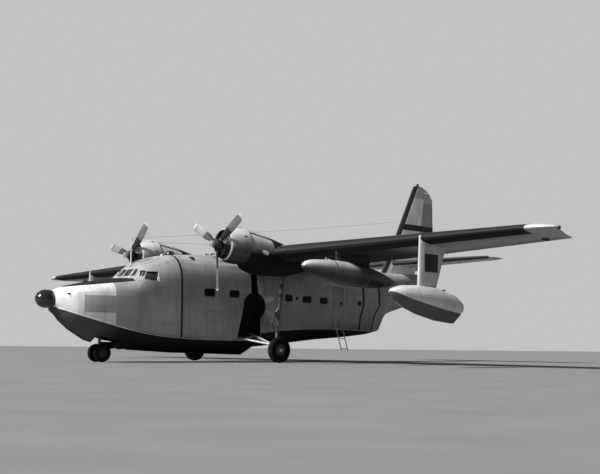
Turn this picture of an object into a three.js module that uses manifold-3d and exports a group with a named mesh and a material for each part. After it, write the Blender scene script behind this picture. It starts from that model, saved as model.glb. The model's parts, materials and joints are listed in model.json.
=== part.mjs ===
// Twin-engined amphibious flying boat, parked on its wheels.
// Millimetres, +X forward, +Y to port, +Z up. The origin is on the ground under the middle of its length.
// A station is a distance aft of the tip of the nose.

import * as THREE from "three";
import { mergeVertices } from "three/addons/utils/BufferGeometryUtils.js";
import Module from "manifold-3d";

const wasm = await Module();
wasm.setup();

// Driving dimensions
const LENGTH = 19160;
const HALF_SPAN = 14730;
const NOSE_X = LENGTH / 2;
const FIT = 0.4; // gap between pieces that touch
const RUNNING_GAP = 25; // gap round what moves

const STRIPE_JOINT = 4870; // station where the bow meets the centre hull
const CABIN_JOINT = 9300; // station where the centre hull meets the cabin hull
const TAIL_JOINT = 13640; // station where the cabin hull meets the tail cone
const MAIN_STEP = 8370; // station of the step in the planing bottom
const HULL_WALL = 55;
const FLOOR_Z = 1260; // cabin floor

const ENGINE_Y = 2880;
const ENGINE_Z = 4020;
const PROP_STATION = 5150;
const PROP_RADIUS = 1590;
const BLADES = 3;
const CYLINDERS = 9;
const COWL_FRONT = 5370;
const COWL_REAR = 6150;

const MAIN_WHEEL = { station: 8060, y: 2685, radius: 460, width: 250 };
const NOSE_WHEEL = { station: 2370, y: 205, radius: 310, width: 165 };

const FLOAT_Y = 10200;
const TANK_Y = 6500;

const FLAP_CUT = 0.73; // fraction of the chord where the fixed wing ends
const TAIL_CUT = 0.58; // the same on the tailplane
const FIN_CUT = 0.6; // and on the fin

const FINISHES = {
  skin: { color: 0xa9acae, roughness: 0.45, metalness: 0.6 },
  light: { color: 0xd8d9d8, roughness: 0.45, metalness: 0.3 },
  black: { color: 0x17181a, roughness: 0.5, metalness: 0.1 },
  gloss: { color: 0x08090a, roughness: 0.15, metalness: 0 },
  steel: { color: 0x8d8f92, roughness: 0.35, metalness: 0.8 },
  engine: { color: 0x3a3b3d, roughness: 0.6, metalness: 0.6 },
  tyre: { color: 0x141414, roughness: 0.9, metalness: 0 },
  glass: { color: 0x20262a, roughness: 0.05, metalness: 0 },
  seat: { color: 0x3c3a36, roughness: 0.9, metalness: 0 },
};

const plane = new THREE.Group();

// The X of a station.
function at(station) {
  return NOSE_X - station;
}

// A point from its station, y and z.
function point(station, y, z) {
  return new THREE.Vector3(at(station), y, z);
}

function addNode(name, geometry, finish) {
  const mesh = new THREE.Mesh(geometry, new THREE.MeshStandardMaterial(FINISHES[finish]));
  mesh.name = name;
  plane.add(mesh);
}

// Solids

function toSolid(geometry) {
  const bare = new THREE.BufferGeometry();
  const loose = geometry.index ? geometry.toNonIndexed() : geometry;
  bare.setAttribute("position", loose.getAttribute("position"));
  const merged = mergeVertices(bare, 1e-3);
  const vertProperties = new Float32Array(merged.attributes.position.array);
  const triVerts = new Uint32Array(merged.index.array);
  return new wasm.Manifold(new wasm.Mesh({ numProp: 3, vertProperties, triVerts }));
}

function toGeometry(body) {
  const mesh = body.getMesh();
  const geometry = new THREE.BufferGeometry();
  geometry.setAttribute("position", new THREE.BufferAttribute(mesh.vertProperties, 3));
  geometry.setIndex(new THREE.BufferAttribute(mesh.triVerts, 1));
  return geometry;
}

function join(...pieces) {
  return toGeometry(pieces.map(toSolid).reduce((whole, piece) => whole.add(piece)));
}

function cut(from, ...tools) {
  return toGeometry(tools.map(toSolid).reduce((rest, tool) => rest.subtract(tool), toSolid(from)));
}

function common(a, b) {
  return toGeometry(toSolid(a).intersect(toSolid(b)));
}

// A copy that stands out by a gap above, below and at its ends, to cut a neighbour with.
function swollen(geometry, gap = FIT) {
  const copy = geometry.clone();
  copy.computeBoundingBox();
  const middle = copy.boundingBox.getCenter(new THREE.Vector3());
  const size = copy.boundingBox.getSize(new THREE.Vector3());
  copy.translate(-middle.x, -middle.y, -middle.z);
  copy.scale(1 + (2 * gap) / size.x, 1 + (2 * gap) / size.y, 1);
  copy.translate(middle.x, middle.y, middle.z);
  return join(copy.clone().translate(0, 0, gap), copy.clone().translate(0, 0, -gap));
}

// The same closed shape with its faces turned outwards.
function facingOut(geometry) {
  const index = Array.from(geometry.index.array);
  const [a, b, c] = [new THREE.Vector3(), new THREE.Vector3(), new THREE.Vector3()];
  const corners = geometry.getAttribute("position");
  let volume = 0;
  for (let i = 0; i < index.length; i += 3) {
    a.fromBufferAttribute(corners, index[i]);
    b.fromBufferAttribute(corners, index[i + 1]);
    c.fromBufferAttribute(corners, index[i + 2]);
    volume += a.dot(b.cross(c));
  }
  if (volume < 0) geometry.setIndex(index.reverse());
  return geometry;
}

// A closed skin over rings with equally many points, a fan over each end.
function loft(rings) {
  const count = rings[0].length;
  const points = rings.flat();
  const index = [];
  for (let r = 0; r < rings.length - 1; r++) {
    for (let k = 0; k < count; k++) {
      const a = r * count + k;
      const b = r * count + ((k + 1) % count);
      index.push(a, b, b + count, a, b + count, a + count);
    }
  }
  for (const first of [0, (rings.length - 1) * count]) {
    const ring = points.slice(first, first + count);
    const middle = ring.reduce((sum, p) => sum.add(p), new THREE.Vector3()).divideScalar(count);
    const hub = points.push(middle) - 1;
    for (let k = 0; k < count; k++) {
      const a = first + k;
      const b = first + ((k + 1) % count);
      index.push(...(first === 0 ? [hub, b, a] : [hub, a, b]));
    }
  }
  const geometry = new THREE.BufferGeometry().setFromPoints(points);
  geometry.setIndex(index);
  return facingOut(geometry);
}

// A box between two stations, two y and two z.
function block(fromStation, toStation, y0, y1, z0, z1) {
  const box = new THREE.BoxGeometry(toStation - fromStation, y1 - y0, z1 - z0);
  return box.translate(at((fromStation + toStation) / 2), (y0 + y1) / 2, (z0 + z1) / 2);
}

// A round bar from one point to another.
function bar(from, to, radius, sides = 12, endRadius = radius) {
  const length = from.distanceTo(to);
  const rod = new THREE.CylinderGeometry(endRadius, radius, length, sides);
  const along = to.clone().sub(from).normalize();
  rod.applyQuaternion(new THREE.Quaternion().setFromUnitVectors(new THREE.Vector3(0, 1, 0), along));
  const middle = from.clone().add(to).divideScalar(2);
  return rod.translate(middle.x, middle.y, middle.z);
}

// A turned shape about a fore and aft line. Profile points are [radius, station].
function turned(profile, y, z, sides = 32) {
  const outline = profile.map(([radius, station]) => new THREE.Vector2(radius, station));
  const lathe = new THREE.LatheGeometry(outline, sides).rotateZ(Math.PI / 2);
  return facingOut(lathe.translate(NOSE_X, y, z));
}

// Hull sections. Stations, heights and half widths in millimetres. The section goes from the keel
// to the chine, up to the widest side and over the roof in a rounded arc.
const ROOF_POINTS = 6;
const FOREBODY = [
  // station, keel, chine z, chine y, side z, side y, roof z, roundness of the roof arc
  [560, 1690, 1790, 300, 2050, 360, 2360, 2.8],
  [800, 1400, 1690, 600, 2080, 620, 2450, 2.8],
  [1150, 1110, 1550, 880, 2110, 880, 2560, 2.8],
  [1750, 760, 1370, 1080, 2140, 1080, 2700, 2.8],
  [2700, 520, 1130, 1190, 2160, 1190, 2860, 2.7],
  [3160, 460, 1040, 1210, 2220, 1210, 2940, 2.6],
  [3450, 440, 990, 1220, 2290, 1220, 3290, 2.5],
  [3640, 425, 955, 1220, 2320, 1220, 3455, 2.5],
  [4200, 400, 890, 1220, 2400, 1220, 3690, 2.6],
  [4760, 370, 855, 1220, 2420, 1220, 3805, 2.8],
  [5120, 350, 830, 1220, 2440, 1220, 3845, 2.8],
  [6200, 330, 800, 1220, 2450, 1220, 3920, 2.8],
  [8370, 280, 800, 1220, 2450, 1220, 3950, 2.8],
];
const AFTERBODY = [
  // the same, then waist z, waist y
  [8300, 520, 1080, 1210, 2450, 1220, 3950, 2.8, 1760, 1215],
  [9300, 600, 1190, 1200, 2440, 1210, 3940, 2.8, 1760, 1205],
  [10650, 735, 1270, 1160, 2420, 1190, 3910, 2.8, 1760, 1175],
  [12000, 880, 1290, 1050, 2400, 1140, 3870, 2.8, 1780, 1090],
  [13000, 950, 1280, 905, 2350, 1070, 3845, 2.8, 1780, 965],
  [13840, 1020, 1265, 683, 2310, 1000, 3825, 2.8, 1800, 800],
  [14850, 1130, 1260, 418, 2330, 900, 3800, 2.8, 1860, 570],
  [15460, 1255, 1275, 90, 2400, 800, 3790, 2.8, 1930, 270],
  [15600, 1310, 1330, 60, 2430, 780, 3790, 2.8, 1950, 240],
  [15780, 1740, 1760, 80, 2480, 750, 3790, 2.8, 2020, 270],
  [15900, 1960, 1990, 120, 2510, 730, 3790, 2.8, 2150, 330],
  [16300, 2110, 2150, 210, 2620, 660, 3790, 2.8, 2300, 420],
  [17200, 2350, 2410, 240, 3000, 480, 3800, 2.8, 2640, 370],
  [18600, 3080, 3200, 150, 3480, 240, 3860, 2.8, 3320, 200],
  [18950, 3400, 3460, 90, 3600, 130, 3840, 2.8, 3520, 115],
];
const TAIL_INSIDE = [
  // the hollow of the tail cone, in the same columns
  [13630, 1090, 1340, 640, 2300, 960, 3775, 2.8, 1820, 770],
  [14850, 1250, 1370, 370, 2320, 840, 3745, 2.8, 1880, 530],
  [15300, 1720, 1760, 150, 2380, 765, 3735, 2.8, 1980, 330],
  [16300, 2200, 2240, 190, 2640, 595, 3735, 2.8, 2340, 370],
  [17000, 2400, 2450, 180, 2930, 455, 3740, 2.8, 2600, 320],
];

// The row of a section table at any station, between its neighbours.
function sectionAt(table, station) {
  const next = table.findIndex((row) => row[0] >= station);
  if (next === 0) return table[0];
  const [a, b] = [table[next - 1], table[next]];
  const share = (station - a[0]) / (b[0] - a[0]);
  return a.map((value, column) => value + (b[column] - value) * share);
}

// One ring of the hull, thinner by an inset.
function hullRing([station, keel, chineZ, chineY, sideZ, sideY, roof, round, waistZ, waistY], inset = 0) {
  const half = [[0, keel + inset * 1.2], [chineY - inset, chineZ + inset * 0.4]];
  if (waistZ) half.push([waistY - inset, waistZ]);
  for (let k = 0; k <= ROOF_POINTS; k++) {
    const turn = (k / (ROOF_POINTS + 1)) * (Math.PI / 2);
    const y = (sideY - inset) * Math.cos(turn) ** (2 / round);
    const z = sideZ + (roof - inset - sideZ) * Math.sin(turn) ** (2 / round);
    half.push([y, z]);
  }
  half.push([0, roof - inset]);
  const other = half.slice(1, -1).reverse().map(([y, z]) => [-y, z]);
  return [...half, ...other].map(([y, z]) => point(station, y, z));
}

// The hull between two stations.
function hullSpan(table, from, to, inset = 0) {
  const rows = table.filter(([station]) => station > from + 1 && station < to - 1);
  return loft([sectionAt(table, from), ...rows, sectionAt(table, to)].map((row) => hullRing(row, inset)));
}

// A wing or tail surface. A station of the span is its leading edge point, chord, thickness and camber.
const FRONT_STEPS = [0, 0.012, 0.05, 0.14, 0.3, 0.5];

function halfThickness(x, thickness) {
  const shape = 0.2969 * Math.sqrt(x) - 0.126 * x - 0.3516 * x ** 2 + 0.2843 * x ** 3 - 0.1015 * x ** 4;
  return 5 * thickness * shape;
}

function camberAt(x, camber) {
  return 4 * camber * x * (1 - x);
}

function surfacePoint(span, x, height) {
  const aft = span.chord * x;
  const off = span.chord * (height + camberAt(x, span.camber));
  const lead = span.lead;
  if (span.upright) return new THREE.Vector3(lead.x - aft, lead.y + off, lead.z);
  const { sink } = span;
  return new THREE.Vector3(lead.x - aft * Math.cos(sink) - off * Math.sin(sink), lead.y,
    lead.z - aft * Math.sin(sink) + off * Math.cos(sink));
}

// The ring of the fixed part, from the leading edge back to a fraction of the chord.
function fixedRing(span, to) {
  const steps = [...FRONT_STEPS.filter((x) => x < to - 0.03), to];
  const top = steps.map((x) => surfacePoint(span, x, halfThickness(x, span.thickness)));
  const bottom = steps.slice(1).reverse().map((x) => surfacePoint(span, x, -halfThickness(x, span.thickness)));
  return [...top, ...bottom];
}

// The hollow inside a fixed tail surface, open behind its rear spar.
const TAIL_WALL = 25;
const CORE_FROM = 0.08;
function coreRing(span, to) {
  const steps = [CORE_FROM, 0.3, to + 0.05];
  const rise = (x) => halfThickness(x, span.thickness) - TAIL_WALL / span.chord;
  const top = steps.map((x) => surfacePoint(span, x, rise(x)));
  const bottom = [...steps].reverse().map((x) => surfacePoint(span, x, -rise(x)));
  return [...top, ...bottom];
}

// Where the hinge of a moving part lies behind the cut, as a fraction of the chord.
function hingeShare(span, cutAt) {
  const radius = halfThickness(cutAt + 0.03, span.thickness);
  return cutAt + radius + RUNNING_GAP / span.chord;
}

function hingePoint(span, cutAt) {
  return surfacePoint(span, hingeShare(span, cutAt), 0);
}

// The ring of the moving part: a round nose about the hinge, then back to a blunt trailing edge.
const NOSE_TURNS = [-90, -50, 0, 50, 90];
const TRAILING_HALF = 6;
function movingRing(span, cutAt) {
  const hinge = hingeShare(span, cutAt);
  const radius = halfThickness(hinge, span.thickness) * 0.99;
  const nose = NOSE_TURNS.map((degrees) => {
    const turn = THREE.MathUtils.degToRad(degrees);
    const x = hinge - radius * Math.cos(turn);
    const middle = camberAt(hinge, span.camber) - camberAt(x, span.camber);
    return surfacePoint(span, x, radius * Math.sin(turn) + middle);
  });
  const edge = TRAILING_HALF / span.chord;
  return [...nose, surfacePoint(span, 1, edge), surfacePoint(span, 1, -edge)];
}

// A span station between two others.
function between(a, b, share) {
  return {
    ...a,
    lead: a.lead.clone().lerp(b.lead, share),
    chord: a.chord + (b.chord - a.chord) * share,
    thickness: a.thickness + (b.thickness - a.thickness) * share,
  };
}

// The span stations of a surface from one distance to another, in its table of [distance, ...].
function spans(table, make, from, to) {
  const rows = table.filter(([distance]) => distance > from + 1 && distance < to - 1);
  const ends = [from, to].map((distance) => {
    const next = Math.max(1, table.findIndex((row) => row[0] >= distance - 1));
    const [a, b] = [table[next - 1], table[next]];
    return between(make(a), make(b), (distance - a[0]) / (b[0] - a[0]));
  });
  return [ends[0], ...rows.map(make), ends[1]];
}

// Wing: distance from the centre line, leading edge station, leading edge z, chord, thickness
const WING = [
  [0, 7150, 3870, 4050, 0.165],
  [4050, 7150, 3850, 4050, 0.16],
  [13900, 7380, 3810, 2260, 0.13],
  [14120, 7400, 3805, 1640, 0.15],
  [14350, 7430, 3800, 1080, 0.17],
  [14560, 7490, 3795, 600, 0.2],
  [HALF_SPAN, 7580, 3790, 230, 0.24],
];
const WING_SINK = THREE.MathUtils.degToRad(2.5);
const WING_CAMBER = 0.018;
const CENTRE_PANEL_Y = 4050;
const TIP_Y = 13900;
const FLAP_FROM = 1330;
const FLAP_TO = 8350;
const FLAPS = [["inner", FLAP_FROM, CENTRE_PANEL_Y - 30], ["outer", CENTRE_PANEL_Y + 30, FLAP_TO]];
const AILERON_TO = 13860;

function wingSpan(side) {
  return ([y, station, z, chord, thickness]) => ({
    lead: point(station, side * y, z),
    chord,
    thickness,
    camber: WING_CAMBER,
    sink: WING_SINK,
  });
}

function wingPiece(side, from, to, ring) {
  return loft(spans(WING, wingSpan(side), from, to).map(ring));
}

// Tailplane: distance, leading edge station, z, chord, thickness
const TAILPLANE = [
  [0, 16350, 4250, 2450, 0.13],
  [4300, 17010, 4270, 1480, 0.11],
  [4620, 17150, 4272, 1180, 0.1],
  [4725, 17520, 4273, 640, 0.09],
];
const ELEVATOR_FROM = 520;
const ELEVATOR_TO = 4300;

function tailSpan(side) {
  return ([y, station, z, chord, thickness]) => ({
    lead: point(station, side * y, z),
    chord,
    thickness,
    camber: 0,
    sink: 0,
  });
}

// Fin: height, leading edge station, chord, thickness
const FIN = [
  [3700, 15750, 3410, 0.09],
  [4600, 16280, 2880, 0.1],
  [7280, 17610, 1500, 0.1],
  [7640, 17790, 1060, 0.09],
  [7830, 17920, 560, 0.07],
];
const RUDDER_FROM = 4000;
const RUDDER_TO = 7560;

function finSpan([z, station, chord, thickness]) {
  return { lead: point(station, 0, z), chord, thickness, camber: 0, upright: true };
}

// Wing panels, flaps and ailerons
const SIDES = [["port", 1], ["starboard", -1]];
const wholeCentre = loft([
  ...spans(WING, wingSpan(-1), 0, CENTRE_PANEL_Y - FIT).slice(1).reverse(),
  wingSpan(1)(WING[0]),
  ...spans(WING, wingSpan(1), 0, CENTRE_PANEL_Y - FIT).slice(1),
].map((span) => fixedRing(span, FLAP_CUT)));

function sparFill(side) {
  return wingPiece(side, 0, FLAP_FROM - RUNNING_GAP, (span) => fixedRing(span, 0.99));
}

const wingCentre = join(wholeCentre, sparFill(1), sparFill(-1));

// Nacelles: station, top z, bottom z, half width
const NACELLE = [
  [6100, 4618, 3424, 597],
  [6170, 4620, 3420, 600],
  [6340, 4610, 3180, 640],
  [6700, 4540, 3060, 640],
  [7190, 4430, 3040, 610],
  [8200, 4150, 3080, 560],
  [9100, 3980, 3310, 410],
  [9850, 3760, 3570, 170],
];
const ENGINE_BAY = { radius: 545, from: 6060, to: 6465 };
const NACELLE_SIDES = 20;

function nacelleBody(side) {
  const rings = NACELLE.map(([station, top, bottom, halfWidth]) => {
    const middle = (top + bottom) / 2;
    return Array.from({ length: NACELLE_SIDES }, (_, k) => {
      const turn = (k / NACELLE_SIDES) * Math.PI * 2;
      const y = side * ENGINE_Y + halfWidth * Math.cos(turn);
      return point(station, y, middle + ((top - bottom) / 2) * Math.sin(turn));
    });
  });
  return loft(rings);
}

// The round cowl is an open ring. Its lip is narrower than its waist.
const COWL_PROFILE = [
  // radius, station
  [502, COWL_FRONT + 35],
  [520, COWL_FRONT],
  [545, COWL_FRONT + 25],
  [587, COWL_FRONT + 140],
  [620, COWL_FRONT + 330],
  [640, COWL_FRONT + 560],
  [638, COWL_REAR],
  [618, COWL_REAR - 5],
  [610, COWL_FRONT + 540],
  [585, COWL_FRONT + 300],
  [540, COWL_FRONT + 120],
];

function cowl(side) {
  return turned([...COWL_PROFILE, COWL_PROFILE[0]], side * ENGINE_Y, ENGINE_Z, 30);
}

// The engine is a crankcase with its gear case in front and one ring of cylinders.
const CRANKCASE = [
  [0, 5340],
  [120, 5340],
  [175, 5400],
  [260, 5480],
  [300, 5560],
  [330, 5900],
  [520, 5960],
  [520, 6440],
  [0, 6440],
];
const CYLINDER_STATION = 5740;
const CYLINDER_TOP = 545;

function engine(side) {
  const y = side * ENGINE_Y;
  const pieces = [turned(CRANKCASE, y, ENGINE_Z, 18)];
  for (let k = 0; k < CYLINDERS; k++) {
    const turn = (k / CYLINDERS) * Math.PI * 2;
    const out = new THREE.Vector3(0, Math.sin(turn), Math.cos(turn));
    const centre = point(CYLINDER_STATION, y, ENGINE_Z);
    const from = centre.clone().addScaledVector(out, 250);
    const to = centre.clone().addScaledVector(out, CYLINDER_TOP);
    pieces.push(bar(from, to, 112, 10));
  }
  return join(...pieces);
}

// Propeller blade sections: radius, width, thickness, blade angle
const BLADE = [
  [130, 130, 120, 45],
  [330, 150, 105, 42],
  [620, 250, 60, 34],
  [1100, 290, 34, 24],
  [1450, 270, 22, 18],
  [1560, 220, 16, 16],
  [PROP_RADIUS, 150, 12, 16],
];
const BLADE_SIDES = 8;
const HUB = [
  [0, 4870],
  [70, 4885],
  [105, 4940],
  [110, 5040],
  [170, 5070],
  [180, 5220],
  [110, 5260],
  [105, 5330],
  [0, 5330],
];

function propeller(side, startDegrees) {
  const y = side * ENGINE_Y;
  const pieces = [turned(HUB, y, ENGINE_Z, 16)];
  for (let blade = 0; blade < BLADES; blade++) {
    const turn = THREE.MathUtils.degToRad(startDegrees + (360 / BLADES) * blade);
    const out = new THREE.Vector3(0, Math.sin(turn), Math.cos(turn));
    const across = new THREE.Vector3(0, Math.cos(turn), -Math.sin(turn));
    const ahead = new THREE.Vector3(1, 0, 0);
    const rings = BLADE.map(([radius, width, thickness, angle]) => {
      const pitch = THREE.MathUtils.degToRad(angle);
      const chordWise = across.clone().multiplyScalar(Math.cos(pitch)).addScaledVector(ahead, -Math.sin(pitch));
      const faceWise = ahead.clone().multiplyScalar(Math.cos(pitch)).addScaledVector(across, Math.sin(pitch));
      const centre = point(PROP_STATION, y, ENGINE_Z).addScaledVector(out, radius);
      return Array.from({ length: BLADE_SIDES }, (_, k) => {
        const around = (k / BLADE_SIDES) * Math.PI * 2;
        return centre.clone()
          .addScaledVector(chordWise, (width / 2) * Math.cos(around))
          .addScaledVector(faceWise, (thickness / 2) * Math.sin(around));
      });
    });
    pieces.push(loft(rings));
  }
  return join(...pieces);
}

// Wheels
const WHEEL_SIDES = 30;
function wheelTyre(station, y, z, radius, width, rimRadius) {
  const half = width / 2;
  const profile = [
    [rimRadius, -half * 0.7],
    [rimRadius + (radius - rimRadius) * 0.35, -half],
    [radius * 0.9, -half * 0.92],
    [radius * 0.985, -half * 0.62],
    [radius, -half * 0.25],
    [radius, half * 0.25],
    [radius * 0.985, half * 0.62],
    [radius * 0.9, half * 0.92],
    [rimRadius + (radius - rimRadius) * 0.35, half],
    [rimRadius, half * 0.7],
  ];
  const outline = [...profile, profile[0]].map(([r, off]) => new THREE.Vector2(r, off));
  return facingOut(new THREE.LatheGeometry(outline, WHEEL_SIDES).translate(at(station), y, z));
}

function wheelRim(station, y, z, rimRadius, width, outer) {
  const half = width / 2;
  const dish = half * 0.35 * outer;
  const profile = [
    [0, dish - 30],
    [rimRadius * 0.45, dish - 30],
    [rimRadius * 0.85, -half * 0.66],
    [rimRadius - FIT, -half * 0.68],
    [rimRadius - FIT, half * 0.68],
    [rimRadius * 0.85, half * 0.66],
    [rimRadius * 0.45, dish + 30],
    [0, dish + 30],
  ];
  const outline = profile.map(([r, off]) => new THREE.Vector2(r, off));
  return facingOut(new THREE.LatheGeometry(outline, WHEEL_SIDES).translate(at(station), y, z));
}

// Bow with its cockpit
const COCKPIT = { from: 2740, to: 4680, floor: 1750 };
const SIDE_WINDOW = { from: 3440, to: 3960, bottom: 2790, top: 3110 };
const NOSE_WELL = { from: 2050, to: 3330, halfWidth: 450, top: 1350 };
// Front panes: centre station, y, z, yaw outwards and pitch back in degrees, width, height
const PANES = [
  [3270, 215, 3090, 11, 41, 350, 360],
  [3330, 590, 3080, 14, 41, 190, 350],
  [3460, 870, 3010, 48, 35, 170, 280],
];

function paneCutter([station, y, z, yaw, pitch, width, height], side) {
  const box = new THREE.BoxGeometry(500, width, height);
  box.rotateY(-THREE.MathUtils.degToRad(pitch));
  box.rotateZ(THREE.MathUtils.degToRad(yaw) * side);
  return box.translate(at(station), y * side, z);
}

const cockpitRoom = cut(
  hullSpan(FOREBODY, COCKPIT.from, COCKPIT.to, HULL_WALL),
  block(COCKPIT.from - 10, COCKPIT.to + 10, -2000, 2000, 0, COCKPIT.floor),
);
const windowCutters = SIDES.flatMap(([, side]) => [
  ...PANES.map((pane) => paneCutter(pane, side)),
  block(SIDE_WINDOW.from, SIDE_WINDOW.to, Math.min(600 * side, 1500 * side), Math.max(600 * side, 1500 * side),
    SIDE_WINDOW.bottom, SIDE_WINDOW.top),
]);
const noseWell = block(NOSE_WELL.from, NOSE_WELL.to, -NOSE_WELL.halfWidth, NOSE_WELL.halfWidth, 0, NOSE_WELL.top);
const bow = cut(hullSpan(FOREBODY, 560, STRIPE_JOINT - FIT / 2), cockpitRoom, ...windowCutters, noseWell);
addNode("hull_bow", bow, "skin");

// Radome
const RADOME = [
  [0, 0],
  [110, 22],
  [215, 95],
  [285, 210],
  [305, 330],
  [298, 480],
  [285, 560 - FIT],
  [0, 560 - FIT],
];
addNode("radome", turned(RADOME, 0, 2070, 28), "gloss");

// Centre hull with its step and the main wheel wells
const WHEEL_WELL = { station: 8060, z: 2060, radius: 510, depth: 480 };
const STRUT_SLOT = { from: 7900, to: 8220, top: 3300 };

function wheelWell(side) {
  const outerY = side * 1400;
  const innerY = side * (1220 - WHEEL_WELL.depth);
  const drum = bar(point(WHEEL_WELL.station, innerY, WHEEL_WELL.z), point(WHEEL_WELL.station, outerY, WHEEL_WELL.z),
    WHEEL_WELL.radius, 32);
  const [y0, y1] = [Math.min(innerY, outerY), Math.max(innerY, outerY)];
  const slot = block(STRUT_SLOT.from, STRUT_SLOT.to, y0, y1, WHEEL_WELL.z, STRUT_SLOT.top);
  const mouth = new THREE.Shape();
  mouth.moveTo(at(7560), 2060);
  mouth.lineTo(at(7230), 700);
  mouth.lineTo(at(8340), 700);
  mouth.lineTo(at(8340), 2060);
  const lower = new THREE.ExtrudeGeometry(mouth, { depth: y1 - y0, bevelEnabled: false });
  lower.rotateX(Math.PI / 2).translate(0, y1, 0);
  return join(drum, slot, lower);
}

const centreHull = cut(
  join(hullSpan(FOREBODY, STRIPE_JOINT + FIT / 2, MAIN_STEP), hullSpan(AFTERBODY, 8300, CABIN_JOINT - FIT / 2)),
  swollen(wingCentre),
  wheelWell(1),
  wheelWell(-1),
);
addNode("hull_centre", centreHull, "skin");

// Cabin hull, hollow, with its entry door
const DOOR = { from: 11950, to: 12650, sill: 1760, top: 2960, gap: 8 };
const DOOR_THICK = HULL_WALL;
const CABIN_END = 13400;
const cabinShell = cut(
  hullSpan(AFTERBODY, CABIN_JOINT + FIT / 2, TAIL_JOINT - FIT / 2),
  cut(
    hullSpan(AFTERBODY, CABIN_JOINT + 200, CABIN_END, HULL_WALL),
    block(CABIN_JOINT, CABIN_END + 100, -2000, 2000, 0, FLOOR_Z),
  ),
  block(DOOR.from, DOOR.to, 600, 2000, DOOR.sill, DOOR.top),
  block(CABIN_END - 300, TAIL_JOINT + 100, -350, 350, FLOOR_Z + 200, 3300),
  swollen(wingCentre),
);
addNode("hull_cabin", cabinShell, "skin");

const doorPanel = common(
  cut(hullSpan(AFTERBODY, 11000, 13200), hullSpan(AFTERBODY, 10990, 13210, DOOR_THICK)),
  block(DOOR.from + DOOR.gap, DOOR.to - DOOR.gap, 600, 2000, DOOR.sill + DOOR.gap, DOOR.top - DOOR.gap),
);
addNode("entry_door", doorPanel, "skin");

// Tail cone, open inside to the cabin
const tailCone = cut(
  hullSpan(AFTERBODY, TAIL_JOINT + FIT / 2, 18950),
  hullSpan(TAIL_INSIDE, TAIL_JOINT - 10, 17000),
);
addNode("tail_cone", tailCone, "skin");

// Wing nodes
addNode("wing_centre", wingCentre, "skin");
for (const [name, side] of SIDES) {
  addNode(`wing_${name}`, wingPiece(side, CENTRE_PANEL_Y, TIP_Y - FIT, (span) => fixedRing(span, FLAP_CUT)), "skin");
  const tip = loft(spans(WING, wingSpan(side), TIP_Y, HALF_SPAN).map((span) => fixedRing(span, 0.985)));
  addNode(`wing_tip_${name}`, tip, "light");
  for (const [place, from, to] of FLAPS) {
    addNode(`flap_${place}_${name}`, wingPiece(side, from, to, (span) => movingRing(span, FLAP_CUT)), "skin");
  }
  const aileron = wingPiece(side, FLAP_TO + 50, AILERON_TO, (span) => movingRing(span, FLAP_CUT));
  addNode(`aileron_${name}`, aileron, "skin");
}

// Engines, cowls, nacelles and propellers
const BLADE_START = { port: 58, starboard: 46 };
const SHAFT_RADIUS = 60;
for (const [name, side] of SIDES) {
  const { radius, from, to } = ENGINE_BAY;
  const bay = turned([[0, from], [radius, from], [radius, to], [0, to]], side * ENGINE_Y, ENGINE_Z, 24);
  addNode(`nacelle_${name}`, cut(nacelleBody(side), swollen(wingCentre), bay), "skin");
  addNode(`cowl_${name}`, cut(cowl(side), swollen(nacelleBody(side))), "skin");
  addNode(`engine_${name}`, engine(side), "engine");
  addNode(`propeller_${name}`, propeller(side, BLADE_START[name]), "steel");
}

// Floats: station, top z, chine z, bottom z, half width
const FLOAT = [
  [6060, 2200, 2170, 2140, 20],
  [6180, 2300, 2110, 1970, 190],
  [6500, 2380, 1990, 1770, 330],
  [7100, 2410, 1840, 1570, 410],
  [7900, 2370, 1690, 1400, 420],
  [8780, 2160, 1580, 1320, 310],
  [8800, 2150, 1620, 1430, 300],
  [9220, 1930, 1790, 1700, 40],
];
const FLOAT_TOP_POINTS = 5;

function floatRing([station, top, chine, bottom, halfWidth], side) {
  const half = [[0, bottom], [halfWidth * 0.94, chine]];
  for (let k = 0; k <= FLOAT_TOP_POINTS; k++) {
    const turn = (k / (FLOAT_TOP_POINTS + 1)) * (Math.PI / 2);
    const shoulder = chine + (top - chine) * 0.3;
    half.push([halfWidth * Math.cos(turn), shoulder + (top - shoulder) * Math.sin(turn)]);
  }
  half.push([0, top]);
  const other = half.slice(1, -1).reverse().map(([y, z]) => [-y, z]);
  return [...half, ...other].map(([y, z]) => point(station, side * FLOAT_Y + y, z));
}

// A strut with a wing section that stands upright between two heights.
function pylonRing(y, z, lead, chord, thickness) {
  return fixedRing({ lead: point(lead, y, z), chord, thickness, camber: 0, upright: true }, 0.97);
}

for (const [name, side] of SIDES) {
  const body = loft(FLOAT.map((row) => floatRing(row, side)));
  const y = side * FLOAT_Y;
  const pylon = loft([pylonRing(y, 2300, 7195, 815, 0.16), pylonRing(y, 3900, 7285, 1310, 0.14)]);
  const outer = wingPiece(side, CENTRE_PANEL_Y, TIP_Y, (span) => fixedRing(span, FLAP_CUT));
  addNode(`float_${name}`, body, "light");
  addNode(`float_pylon_${name}`, cut(pylon, swollen(outer, 1), swollen(body)), "light");
}

// Drop tanks under the wing
const TANK = [
  // radius, distance from the nose along its axis
  [0, 0],
  [90, 40],
  [150, 130],
  [220, 300],
  [272, 580],
  [330, 1010],
  [367, 1440],
  [383, 1890],
  [371, 2340],
  [350, 2800],
  [294, 3270],
  [191, 3740],
  [80, 4100],
  [0, 4230],
];
const TANK_TILT = THREE.MathUtils.degToRad(5.3);
const TANK_NOSE = { station: 5880, z: 3145 };

function tank(side) {
  const body = turned(TANK, 0, 0, 24);
  body.translate(-NOSE_X, 0, 0).rotateY(-TANK_TILT);
  return body.translate(at(TANK_NOSE.station), side * TANK_Y, TANK_NOSE.z);
}

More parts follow.
